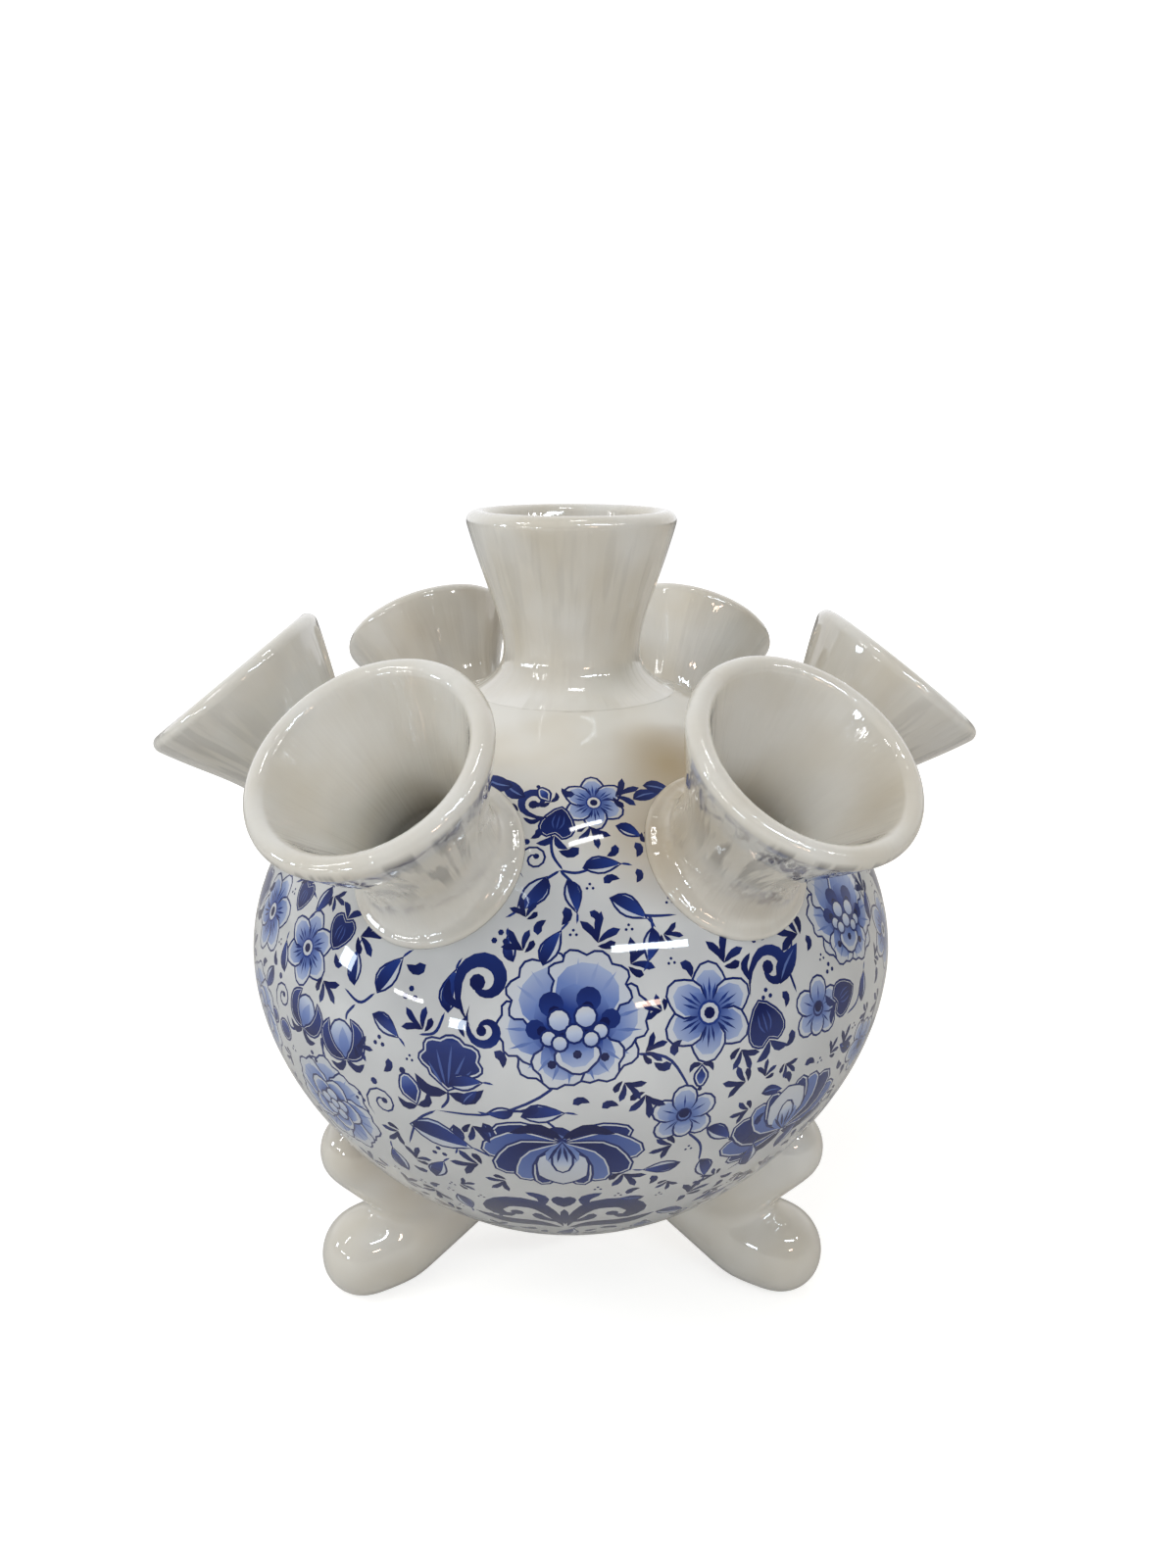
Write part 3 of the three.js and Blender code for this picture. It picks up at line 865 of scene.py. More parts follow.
WINDING = ((0.04, -1.1), (0.2, -0.3), (0.6, 0.36), (1.25, 0.4), (1.55, -0.05), (1.3, -0.4), (1.02, -0.2))
VOLUTE = (WINDING, (0.08, 0.3, 0.5, 0.52, 0.34, 0.16), 18, (0.97, 0.84))
SCROLL_LEAVES = (  # for each its line, how wide it is pressed, its steps and its tones
    (((0.05, -1.2), (0.6, -0.86), (1.3, -0.86), (2.0, -0.5)), (0.08, 0.4, 0.46, 0.1), 14, (0.97, 0.78)),
    (((0.5, 0.3), (0.44, 0.74), (0.8, 0.98)), (0.1, 0.28, 0.12), 8, (0.95, 0.85)),
    (((0.1, -0.7), (0.5, -0.4), (0.62, -0.1)), (0.08, 0.26, 0.2), 8, (0.95, 0.85)),
)


def scroll_bed(place):
    """A lyre of two leafy scrolls about a heart, for the lower belly."""
    for side in (-1, 1):
        one_side(place, side, VOLUTE)
        paint(place, disc(0.15, (1.02 * side, -0.16), 8), (0.95, 0.9))
        one_side(place, side, *SCROLL_LEAVES)
    paint(place, turned(smooth_line(HEART, 14, closed=True), 0, (0, 0.62), 0.3), (0.97, 0.9))
    paint(place, stroke(((0, -0.9), (0, -0.3), (0, 0.2)), (0.06, 0.2, 0.14), 7), (0.95, 0.9))


MOTIFS = {
    f.__name__: f
    for f in (peony, rose, blossom, little_blossom, lotus, tulip, small_bud, berry, lobed_leaf)
    + (veined_leaf, dark_leaf, sprig, comma, dots, ball, scroll, curl, scroll_bed)
}
print(len(MOTIFS), "motifs in the pattern book")

# %% [markdown]
# The layout. The belt of large flowers round the belly repeats twice, front and back, and the garland
# over it fills each of the six gaps between the spouts. Under the belt six beds of scrolls stand
# round the foot of the globe. A row gives a motif's name, and for each one its place on the sheet,
# its turn by the clock and its size, in millimetres and degrees. A size below zero mirrors it. A row
# of stems gives the points that a thin line goes through. What stands later in a table lies on top.

# %% Where the motifs go
BELT = """
rose -3 12.5 -8 13; blossom 21 13 8 8.6; berry 32 8.5 168 4.8; small_bud 19 4.6 185 4.4;
lobed_leaf -24.5 -0.5 4 10.5; veined_leaf -25 13.5 -8 7.4; scroll -19 19.5 -6 4.4, -18 11.5 160 -2.8;
small_bud -30.5 -4.6 -22 6.6; veined_leaf -8.6 22.6 14 6.6, -14 23 -30 4.6, -13 -2.4 246 5;
dark_leaf -18.6 -5.6 148 5.4, -22 -2.4 24 4; veined_leaf -24 -7 170 6; sprig 1.6 26.4 8 5.4,
7.4 22.6 50 5.2, -12.4 25 -40 4.4; veined_leaf -39.6 14 16 8, -40 10.4 104 6.6, -45 14 -22 6.4,
-24.5 1 66 6.4, -12 -3.6 70 7.6; dark_leaf -8 -6 112 8; veined_leaf -33 -9.4 92 12; tulip -45.6 0 -14 7.6,
-58 1.6 14 7.2; curl -65.5 5 0 3, -38 -6.2 10 3.4; ball -65 -1.6 0 2.4, -69.5 -0.5 0 1.8;
blossom -60 16.5 0 7.2; berry -52 22 10 3.8; peony -52 -12.6 0 11; lotus -5 -8.4 180 14.5;
scroll 35.5 17.5 40 3.8; dark_leaf 36.5 14.5 30 8; little_blossom 16 -5 0 6.2; veined_leaf 20.6 -9 118 7,
17 -17 255 7, 21 -17.5 150 7; lotus 40 -17.5 -10 14.5; little_blossom 45 7.4 10 6.2; berry 53 7 260 4.2;
rose 60.5 20 14 11.5; little_blossom 62.5 -7 200 6.4; dark_leaf 57 -5 280 5.4; veined_leaf 60 3 8 6;
sprig 26.6 5.4 155 4.6, 25.4 20.6 14 5.6, 12.4 14.6 -70 3.6, 9 0.4 170 5, 5.4 3 140 4.4, -29.4 10 -50 4.8,
-20.5 -6.6 140 4.6, -36 -12.4 220 4.4, -20.5 -16.5 262 5.6, 6 -18 150 5.2, 44 21.6 -66 6,
-46.6 22.4 74 5.6, -53 12.6 128 5, 27.6 -1 -80 4.8, 29 -7.4 262 4, 14.5 -11.5 250 4.4, 53.4 -3.4 30 4.4,
-43 3.6 84 3.8, -16 -20.6 220 4.4, 9 8 70 4.2, -34 -19.5 20 4.4; comma -10.5 -1.6 70 3.2, 12 5.8 100 3.2,
-32.6 20.4 80 3.8, -15.6 6.8 -30 3.2, 17.6 20.6 -30 3.2, 14.8 8 210 3, 37 4.6 30 3.2, -36.5 2 20 3,
32.6 -11 200 3; dots -17 26.8 0 1.6, -32.6 15.4 0 1.6, -28 -15 0 1.6, 22 -26.8 0 1.6, 34 23.6 0 1.6,
-55.5 -3.2 0 1.5, 33 13.6 0 1.3, -43.4 -7 0 1.3, 27.4 -13.4 0 1.4, 50 13.4 0 1.3, -38 6 0 1.3;
blossom -79 17 12 8.4; veined_leaf -71 9 200 6.6; lobed_leaf -91 12 -20 10; peony -79 -4 0 10.4;
tulip -97 2 -10 8; scroll -101 19 20 4; lotus -100 -24 8 13; blossom -72 -23 0 6.8; berry -68 24.4 0 3.4;
veined_leaf -88 -14 210 8; sprig -88 5 30 5.2, -62 -26 120 4.6; veined_leaf -66 9.6 -30 6;
curl -87 -21 60 3; sprig -92 -12 260 5, -104 9 20 5; comma -86 20 40 3.2, -97 -8 80 3.2;
sprig -72 26 -30 5; blossom 79 10 20 8; berry 88.6 17 130 4.4; lobed_leaf 74 -7 172 10.6;
rose 94 -3 -12 12; scroll 103 17 -30 4.2; veined_leaf 84 -6 215 7.6, 71 15 20 6.6; lotus 82 -30 0 13;
tulip 65 -26 -14 7.6; blossom 104 -23 30 6.6; sprig 99 10.6 30 5.2, 74 20.6 -20 5.4; curl 69 -16 140 3;
sprig 95 -18 190 5; small_bud 107.4 4 20 6.6; sprig 84 21 40 4.8; comma 68 5 30 3.4, 86 2 60 3.2;
sprig 70 -1 260 4.6, 51 -22 120 5; veined_leaf 104 -11 170 6.6
"""
STEMS = """
-4 6 -8 1 -17 -3.6 -27 -4.6; -27 -4.6 -31 -8 -34 -15; -18 -3.4 -10 -2.6 -4 -8; -26 -4 -24.6 -2 -24.5 0;
7 8 13 6.4 17 0; 17 -9 20 -13 20.6 -18; 40 12 39.4 17 42 21; 40 -14 37 -20 30 -25;
-44 11 -45.6 9 -45.8 7.6; -52 -2 -52 4 -57 2; -45.6 0 -52 2 -51 -3; -74 25 -70 27 -64 25;
-96 2 -93 -6 -88 -13; 78 2 74 0 72 -7; 92 8 88 10 88 14; -25.6 13.6 -27 10 -30 9; -40 14 -43 11.6 -47 13;
60.5 8 58 4 54 3; -58 2 -62 0 -64 2
"""
GARLAND = """
blossom 3 52.4 0 5.8; berry -7 48 190 3.8; veined_leaf -1 39.4 74 6.8, -8.6 38 206 8, -4.4 37.4 152 6.2;
curl -12 41 0 2.8; comma -4 43 80 3.6, -5 31 10 3.2, 1 30.6 -30 2.6; veined_leaf 4.4 34 112 7.4,
12.4 28.5 184 6; sprig 1.5 47.4 165 4.6; veined_leaf 8 47.4 110 5; sprig 9.6 53.6 72 5;
dark_leaf 14.6 52.6 64 5.4, 19 55.4 98 6; scroll -14 52.6 -70 2.8; dark_leaf -17 53.4 288 6.4,
-21.6 55.6 266 7; small_bud -9.4 52.4 -36 4; comma -4.4 55 120 2.8; sprig -18.6 50 232 4;
comma -12.6 46 30 2.6; sprig 14.4 27 100 3.6; comma 6 42.6 40 2.8; sprig 15 45.6 110 3.6;
comma 11 37.6 10 2.6; sprig -12.4 30.6 -20 3.8
"""
GARLAND_STEMS = """
-8.5 46 -8 42 -6 39; -6 39 -3 38.6 0 39.6; -6 39 -8 37.6 -9 37; -6 39 -4 37 -3 35.6; 5 33 10 30.6 16 30;
12 30.6 12.4 29.6 12.4 28
"""
LOWER_BELT = """
scroll_bed -5 -32.6 0 8.6; veined_leaf -31 -24 16 7, -38 -25.6 -20 7.4, -28 -29.6 160 7;
sprig -33.6 -31 190 5; comma -15 -45 70 3.8, 6 -45 -70 3.8; sprig 21.6 -30 20 5.4;
veined_leaf 16 -37 108 7.6; dots -21 -37 0 1.5; small_bud 15 -50 0 6.4; sprig -23 -47 30 5;
veined_leaf -5 -52 0 8, -33 -43 200 7.6; tulip -39 -62 0 7
"""


def lay_motifs(table, shift):
    """Paints a table's motifs, moved along the sheet."""
    for row in table.split(";"):
        name, numbers = row.split(maxsplit=1)
        for place in numbers.split(","):
            x, y, turn, size = (float(number) for number in place.split())
            MOTIFS[name]((x + shift, y, turn, abs(size), -1 if size < 0 else 1))


def lay_stems(table, shift):
    """Paints a table's stems, moved along the sheet."""
    for row in table.split(";"):
        stem(np.array(row.split(), float).reshape(-1, 2) + (shift, 0))


sixths = [sixth * HALF_TURN / 3 - 2 * HALF_TURN / 3 for sixth in range(6)]
for half in (0, HALF_TURN):
    lay_stems(STEMS, half)
    lay_motifs(BELT, half)
for shift in sixths:
    lay_stems(GARLAND_STEMS, shift)
    lay_motifs(GARLAND, shift)
for shift in sixths:
    lay_motifs(LOWER_BELT, shift)
print(len(prints), "brushed shapes laid out by hand")

# %% [markdown]
# A painter leaves no gap: leaves, sprigs, commas and dots go wherever there is room for them. Chance
# picks the spots, with a fixed seed, and the room at a spot, which is how far all that is painted is
# from it, says what goes there.

# %% Fill the gaps
TRIES = 5000
TOP_OF_PRINT = 55.0
FOOT_OF_PRINT = -62.0
COLLAR_RADIUS = 17.4
UNDER_COLLAR = 1.0  # mm that a filling may reach under a collar
LEAF_ROOM = 3.8  # mm
SPRIG_ROOM = 3.0
SMALL_SPRIG_ROOM = 2.2
COMMA_ROOM = 1.75
DOTS_ROOM = 1.45
chance = np.random.default_rng(7)
collars = np.vstack([ring_on_sheet(i, COLLAR_RADIUS) for i in range(SPOUT_COUNT)])
middles = np.array([ring_on_sheet(i, COLLAR_RADIUS).mean(axis=0) for i in range(SPOUT_COUNT)])


def real_gap(points, x, y):
    """Distance on the clay from one spot of the sheet to each of these points."""
    across = np.abs(points[:, 0] - x)
    across = np.minimum(across, 2 * HALF_TURN - across) * np.interp(y, ARC, RADII) / GLOBE_RADIUS
    return np.hypot(across, points[:, 1] - y)


def spots_of(shapes):
    """The outlines of brushed shapes, and the spots half way in to their middles."""
    rings = [shape[0] for shape in shapes]
    return np.vstack([*rings, *((ring + ring.mean(axis=0)) / 2 for ring in rings)])


painted = np.vstack([collars, spots_of(prints)])
before = len(prints)
for _ in range(TRIES):
    x, y = chance.uniform(-HALF_TURN, HALF_TURN), chance.uniform(FOOT_OF_PRINT, TOP_OF_PRINT)
    turn = chance.uniform(0, 360)
    room = real_gap(painted, x, y).min()
    if room < DOTS_ROOM or real_gap(middles, x, y).min() < COLLAR_RADIUS - UNDER_COLLAR:
        continue
    started = len(prints)
    if room > LEAF_ROOM:
        veined_leaf((x, y - 2.6, 40 * math.sin(turn), 5.8, 1))
    elif room > SPRIG_ROOM and turn < 120:
        dark_leaf((x, y - 2, 3 * turn, 4.8, 1))
    elif room > SPRIG_ROOM:
        sprig((x, y - 1.8, 60 * math.sin(turn), 4.8, 1))
    elif room > SMALL_SPRIG_ROOM:
        sprig((x, y - 1, turn, 3.5, 1))
    elif room > COMMA_ROOM:
        comma((x, y, turn, 2.9, 1))
    else:
        dots((x, y, 0, 0.85, 1))
    painted = np.vstack([painted, spots_of(prints[started:])])
print(len(prints) - before, "shapes fill the gaps")

# %% Cobalt at the corners of the triangles
outlines, places, washes = zip(*prints)


def cobalt_at(flat, faces, tops):
    """How much cobalt each corner has: its place along the wash of the shape that covers it."""
    place = np.array(places)[tops]
    wash = np.array(washes)[tops]
    x, y = flat[faces][..., 0], flat[faces][..., 1]
    across = (x - place[:, :1]) * np.interp(y, ARC, RADII) / GLOBE_RADIUS
    up = y - place[:, 1:2]
    along = (across * wash[:, 0:1] + up * wash[:, 1:2] - wash[:, 2:3]) / wash[:, 3:4]
    tone = wash[:, 4:5] + (wash[:, 5:6] - wash[:, 4:5]) * np.clip(along, 0, 1)
    return np.where(tops[:, None] < 0, 0.0, tone).ravel()


flat, faces, tops = cut_sheet(0.0, GRID, outlines)
tones = cobalt_at(flat, faces, tops)
print("cobalt covers", round(100 * np.mean(tones > 0)), "% of the corners")

# %% The globe's two skins in one mesh
outer, outer_normals = on_globe(flat)
inner, inner_normals = on_globe(flat_inside, GLOBE_WALL)
skins = bpy.data.meshes.new("skins")
corners = np.vstack([faces, faces_inside[:, ::-1] + len(outer)])  # the inner skin faces inwards
skins.from_pydata(np.vstack([outer, inner]).tolist(), [], corners.tolist())
tones = np.concatenate([tones, np.zeros(faces_inside.size)])
skins.attributes.new("cobalt", "FLOAT", "CORNER").data.foreach_set("value", tones)
facing = np.vstack([outer_normals, -inner_normals])
skins.attributes.new("facing", "FLOAT_VECTOR", "POINT").data.foreach_set("vector", facing.ravel())
print("the two skins have", len(faces), "and", len(faces_inside), "triangles")

# %% Close the globe: weld its seam, line its bores, fill its underside
WELD = 0.004  # mm
RING_SPREAD = 1.5  # mm, the open ring of a skin's underside lies this near its floor
globe = bmesh.new()
globe.from_mesh(skins)
bmesh.ops.remove_doubles(globe, verts=globe.verts, dist=WELD)
open_edges = [e for e in globe.edges if len(e.link_faces) == 1]


def edges_near_axis(place, reach):
    """Open edges within a distance of a place's upright axis, on the place's side of the globe."""
    back = place.inverted()
    found = []
    for e in open_edges:
        middle = back @ ((e.verts[0].co + e.verts[1].co) / 2)
        if math.hypot(middle.x, middle.y) < reach and abs(middle.z) < BELOW_SEAT:
            found.append(e)
    return found


neck_place = Matrix.Translation((0, 0, CROWN))
for index in range(SPOUT_COUNT):
    bmesh.ops.bridge_loops(globe, edges=edges_near_axis(spout_place(index), BORE_RADIUS + 1))
bmesh.ops.bridge_loops(globe, edges=edges_near_axis(neck_place, NECK_BORE + 1))
for floor in (UNDERSIDE, UNDERSIDE + GLOBE_WALL):
    ring = [e for e in open_edges if e.is_valid and abs(e.verts[0].co.z - floor) < RING_SPREAD]
    bmesh.ops.edgeloop_fill(globe, edges=ring)
bmesh.ops.triangulate(globe, faces=[f for f in globe.faces if len(f.verts) > 4])
print("open edges left in the globe:", sum(1 for e in globe.edges if len(e.link_faces) != 2))

# %% Finish the globe, with the normals of its true curve
body = finish_piece("globe", globe, printed_glaze, "printed_glaze", "body_globe")
facing = np.zeros(3 * len(body.data.vertices), np.float32)
body.data.attributes["facing"].data.foreach_get("vector", facing)
body.data.attributes.remove(body.data.attributes["facing"])
body.data.normals_split_custom_set_from_vertices(facing.reshape(-1, 3).tolist())

# %% [markdown]
# The neck and the side spouts are small trumpets, thrown and turned by themselves and luted on with
# slip. Spinning one closed profile gives the tube, its 4 mm lip and its bore. The fillet of slip at
# the root has to follow the globe, so its rows are spun like the rest and then moved, angle by
# angle, onto the globe's own surface.

# %% A trumpet's profile
OUTSIDE_POINTS, LIP_POINTS = 22, 15


def trumpet_profile(waist, waist_at, waist_run, rim, length, wall, flare, rim_run):
    """The closed profile from the waist up outside, over the lip, and down inside to the root."""
    middle = np.array([rim - wall / 2, length - wall / 2])  # of the half circle over the lip
    across = np.array([math.cos(flare), -math.sin(flare)])
    lip = middle + wall / 2 * across
    lean = lip - rim_run * np.array([math.sin(flare), math.cos(flare)])
    outside = bezier(((waist, waist_at), (waist, waist_at + waist_run), lean, lip), OUTSIDE_POINTS)
    turn = np.linspace(0, math.pi, LIP_POINTS)[1:-1, None] - flare
    over = middle + wall / 2 * np.column_stack([np.cos(turn), np.sin(turn)])
    inside = outside[::-1] - (wall, 0)
    near_lip = np.linspace(1, 0, len(inside))[:, None] ** 2
    inside = inside + near_lip * ((wall, 0) - wall * across)
    return np.vstack([outside, over, inside])


NECK_WALL = 4.2
neck_profile = trumpet_profile(
    waist=14.2, waist_at=4.0, waist_run=6.0, rim=21.1, length=31.6, wall=NECK_WALL,
    flare=math.radians(15), rim_run=12.0,
)
SPOUT_WALL = 4.0
spout_profile = trumpet_profile(
    waist=12.7, waist_at=4.0, waist_run=7.0, rim=21.02, length=29.2, wall=SPOUT_WALL,
    flare=math.radians(21.5), rim_run=10.8,
)
print("the profiles have", len(neck_profile), "and", len(spout_profile), "points")

# %% A trumpet spun from its profile
RUN_STRETCH = 0.1  # the streaks of glaze are ten times as long as wide
FACING_DOWN = (0.1, 0.6)  # how far down the clay faces where the painted shade starts, and where it is full
ABOVE_ROOT = (6, 10)  # mm, the heights between which that begins over the fillet
FILLET_ROWS = 9
EDGE_ROWS = 4


def trumpet(place, profile, wall, fillet_radius, edge_height, underside_shade):
    """Spins the profile about its axis, and lays the fillet at its root on the globe.

    Underside shade is how much painted shade darkens the outside of the tube, where that faces down.
    The rows of the fillet are spun on any line below the waist, and lay_fillet moves them.
    """
    waist, waist_at = profile[0]
    bm = bmesh.new()
    row_layer = bm.verts.layers.int.new("fillet row")
    rows = FILLET_ROWS + EDGE_ROWS + 2
    chain = [bm.verts.new((r, 0, z)) for r, z in profile]
    for row in range(rows):
        vert = bm.verts.new((waist - 0.2 * (rows - row), 0, waist_at - 6))
        vert[row_layer] = rows - row
        chain.append(vert)
    for a, b in zip(chain, chain[1:] + chain[:1]):
        bm.edges.new((a, b))
    bmesh.ops.spin(
        bm, geom=bm.verts[:] + bm.edges[:], cent=(0, 0, 0), axis=(0, 0, 1),
        angle=math.tau, steps=RING_STEPS, use_merge=True,
    )
    lay_fillet(bm, row_layer, place, waist, waist_at, wall, fillet_radius, edge_height)
    bmesh.ops.recalc_face_normals(bm, faces=bm.faces)
    bm.normal_update()
    runs_layer = bm.verts.layers.float_vector.new("runs")
    # Painted shade: the thin attribute says how much grey the streaks take where the tube faces down.
    shade_layer = bm.verts.layers.float.new("thin")
    for vert in bm.verts:
        round_at = vert.co.xy.normalized() * waist
        vert[runs_layer] = (round_at.x, round_at.y, RUN_STRETCH * vert.co.z)
        if vert.normal.xy.dot(vert.co.xy) > 0:
            down = -(place.to_3x3() @ vert.normal).z
            down_shade = np.interp(down, FACING_DOWN, (0, 1))
            vert[shade_layer] = underside_shade * down_shade * np.interp(vert.co.z, ABOVE_ROOT, (0, 1))
    bmesh.ops.transform(bm, matrix=place, verts=bm.verts)
    return bm


print("each trumpet is spun in", RING_STEPS, "steps")

# %% The fillet of slip that lutes a trumpet to the globe
STEP = 0.5  # mm, to find the globe's slope along a spoke
UPPER_PULL, LOWER_PULL = 0.55, 0.62  # how far the hollow follows the tube, and the globe
ROOT_DEPTH = 1.0  # mm, how deep the clay goes into the globe
ROOT_SLANT = 1.5  # mm, how far that deepest ring lies in from the fillet's edge


def fillet_rows(place, angle, waist, waist_at, wall, radius, edge):
    """One spoke of the fillet: a hollow curve onto the globe, a small round edge, then the root."""
    bore = waist - wall
    near, foot, inner_foot = (
        heights_on_globe(r, np.array([angle]), 0.0, place)[0] for r in (radius - STEP, radius, bore)
    )
    along = np.array([STEP, foot - near]) / math.hypot(STEP, foot - near)
    out = np.array([-along[1], along[0]])
    foot = np.array([radius, foot])
    top = foot + edge * out
    below_waist = (waist, waist_at - UPPER_PULL * (waist_at - top[1]))
    over_globe = top - LOWER_PULL * (radius - waist) * along
    curve = bezier(((waist, waist_at), below_waist, over_globe, top), FILLET_ROWS + 1)
    turn = np.linspace(0, math.pi / 2, EDGE_ROWS + 1)[1:, None]
    rounding = foot + edge * (np.cos(turn) * out + np.sin(turn) * along)
    root = np.array([foot - ROOT_DEPTH * out - ROOT_SLANT * along, (bore, inner_foot - ROOT_DEPTH)])
    return np.vstack([curve[1:], rounding, root])


def lay_fillet(bm, row_layer, place, waist, waist_at, wall, radius, edge):
    """Moves the rows of the fillet onto the globe, spoke by spoke."""
    spokes = {}
    for vert in bm.verts:
        row = vert[row_layer]
        if row:
            angle = math.atan2(vert.co.y, vert.co.x)
            key = round(angle * RING_STEPS / math.tau) % RING_STEPS
            if key not in spokes:
                spokes[key] = fillet_rows(place, angle, waist, waist_at, wall, radius, edge)
            r, z = spokes[key][row - 1]
            vert.co = (r * math.cos(angle), r * math.sin(angle), z)


print("a fillet has", FILLET_ROWS, "rows in its hollow and", EDGE_ROWS, "round its edge")

# %% The neck, whose fillet runs out smoothly into the white dome
neck = trumpet(neck_place, neck_profile, NECK_WALL, fillet_radius=21.6, edge_height=0.02, underside_shade=0.25)
finish_piece("neck", neck, white_glaze, "white_glaze", "neck_spout", "neck_collar")

# %% The six side spouts, whose fillets end in a fine crease
SPOUT_FILLET = {"fillet_radius": 15.2, "edge_height": 1.15}  # mm
UNDERSIDE_SHADES = (0.3, 0.3, 0.3, 0.3, 0.8, 0.8)  # the painted shade under the spouts, strongest on the two front ones
for index, underside_shade in enumerate(UNDERSIDE_SHADES):
    place = spout_place(index)
    spout = trumpet(place, spout_profile, SPOUT_WALL, underside_shade=underside_shade, **SPOUT_FILLET)
    nodes = (f"side_spout_{index + 1}", f"spout_collar_{index + 1}")
    finish_piece(f"spout_{index + 1}", spout, white_glaze, "white_glaze", *nodes)


# %% [markdown]
# Each foot is a fat scroll: a toe that curls out on the ground, a knob that curls out under the
# globe, and a thick web of clay between them. A potter rolls and presses these and smooths the
# joins with a wet finger. Here a roll is the hull of two balls, and the rolls are joined by a voxel
# remesh and smoothed until they run together.

# %% The rolls of clay in a foot
FOOT_TURNS = {"foot_1": -30.3, "foot_2": 87.4, "foot_3": -154.9}  # degrees from the +X spout
FOOT_WIDTH = 0.94  # of a round roll's
# Each ball has its reach from the globe's axis, its height, and its radius.
TOE = ((51.9, 9.6), 10.2)
SOLE_BALL = ((45.0, 9.9), 10.2)
PAW_ROOT = ((26.0, 19.2), 8.8)
KNOB = ((51.7, 36.4), 9.0)
KNOB_ROOT = ((40.88, 25.58), 10.4)
WEB = ((37.5, 22.0), 9.5)
ROLLS = ((TOE, SOLE_BALL), (SOLE_BALL, PAW_ROOT), (KNOB, KNOB_ROOT), (WEB, PAW_ROOT), (KNOB_ROOT, WEB))


def add_roll(bm, ends):
    """A tapered roll with round ends: the convex hull of two balls."""
    verts = []
    for (reach, height), radius in ends:
        made = bmesh.ops.create_uvsphere(bm, u_segments=32, v_segments=20, radius=radius)["verts"]
        bmesh.ops.translate(bm, vec=(reach, 0, height), verts=made)
        verts += made
    hull = bmesh.ops.convex_hull(bm, input=verts)
    inner = {v for v in hull["geom_interior"] if isinstance(v, bmesh.types.BMVert)}
    bmesh.ops.delete(bm, geom=list(inner), context="VERTS")


def foot_rolls():
    """All the rolls of one foot, reaching out along +X."""
    bm = bmesh.new()
    for ends in ROLLS:
        add_roll(bm, ends)
    bmesh.ops.scale(bm, vec=(1, FOOT_WIDTH, 1), verts=bm.verts)
    return bm


print("a foot has", len(ROLLS), "rolls")

# %% Join the rolls, smooth them and press the sole flat
VOXEL = 0.7  # mm
SMOOTHING = 40  # strokes of the wet finger
EVERY_WAY = {"use_axis_x": True, "use_axis_y": True, "use_axis_z": True}
SOLE_PRESS = 0.4  # mm, how far the toe is pressed flat


def modelled_foot(turn):
    """The rolls as one skin of clay, smoothed, with its sole pressed flat on the ground."""
    block = put_bmesh("rolls", foot_rolls())
    remesh = block.modifiers.new("one skin", "REMESH")
    remesh.mode = "VOXEL"
    remesh.voxel_size = VOXEL
    bpy.context.view_layer.update()
    graph = bpy.context.evaluated_depsgraph_get()
    bm = bmesh.new()
    bm.from_mesh(block.evaluated_get(graph).to_mesh())
    bpy.data.objects.remove(block)
    for _ in range(SMOOTHING):
        bmesh.ops.smooth_vert(bm, verts=bm.verts, factor=0.5, **EVERY_WAY)
    lowest = min(vert.co.z for vert in bm.verts)
    bmesh.ops.translate(bm, vec=(0, 0, -SOLE_PRESS - lowest), verts=bm.verts)
    for vert in bm.verts:
        vert.co.z = max(vert.co.z, 0.0)
    bmesh.ops.rotate(bm, matrix=Matrix.Rotation(math.radians(turn), 3, "Z"), verts=bm.verts)
    return bm


for node, turn in FOOT_TURNS.items():
    foot = modelled_foot(turn)
    finish_piece(node.replace("foot", "scroll_foot"), foot, white_glaze, "white_glaze", node)


# %% [markdown]
# The camera stands where the photograph's did: close, and looking down at 18 degrees, so the near
# spouts look large and their mouths open towards it.

# %% The camera
FRAME_LONG_SIDE = 1600  # pixels
FOCAL_PIXELS = 1099.7
SENSOR = 36.0  # mm
CAMERA_PLACE = Vector((3.476, -222.405, 182.527)) * MM
CAMERA_TURN = math.radians(-3.587)
CAMERA_PITCH = math.radians(17.903)
CAMERA_ROLL = math.radians(0.196)

camera_data = bpy.data.cameras.new("camera")
camera_data.sensor_width = SENSOR
camera_data.lens = SENSOR * FOCAL_PIXELS / FRAME_LONG_SIDE
camera_data.clip_start = 0.01  # m
camera = put("camera", camera_data)
bpy.context.scene.camera = camera
around = Matrix.Rotation(CAMERA_TURN, 4, "Z")
tilt = Matrix.Rotation(math.pi / 2 - CAMERA_PITCH, 4, "X")
roll = Matrix.Rotation(CAMERA_ROLL, 4, "Z")
camera.matrix_world = around @ Matrix.Translation(CAMERA_PLACE) @ tilt @ roll
print("lens", round(camera_data.lens, 2), "mm")

# %% [markdown]
# Glazed pottery shows its form by what it mirrors. The body of the light comes from large soft lamps
# that the glaze doesn't mirror, and from a pale room. Small lamps that it does mirror give the crisp
# dashes on lips, toes and dome. The floor and the room are white to the camera. The glaze mirrors the
# white behind the vase, and a dimmer room on the viewer's side.

# %% White for the camera and for the glaze's reflections


def add_light(tree, shader, kind, strength, output):
    """White light on top of a shader, which goes on to the tree's output."""
    white = add_node(tree, kind, inputs={"Color": linear("#FFFFFF")}, links={"Strength": strength})
    both = add_node(tree, "AddShader", links={0: shader.outputs[0], 1: white.outputs[0]})
    tree.links.new(both.outputs[0], output.inputs["Surface"])


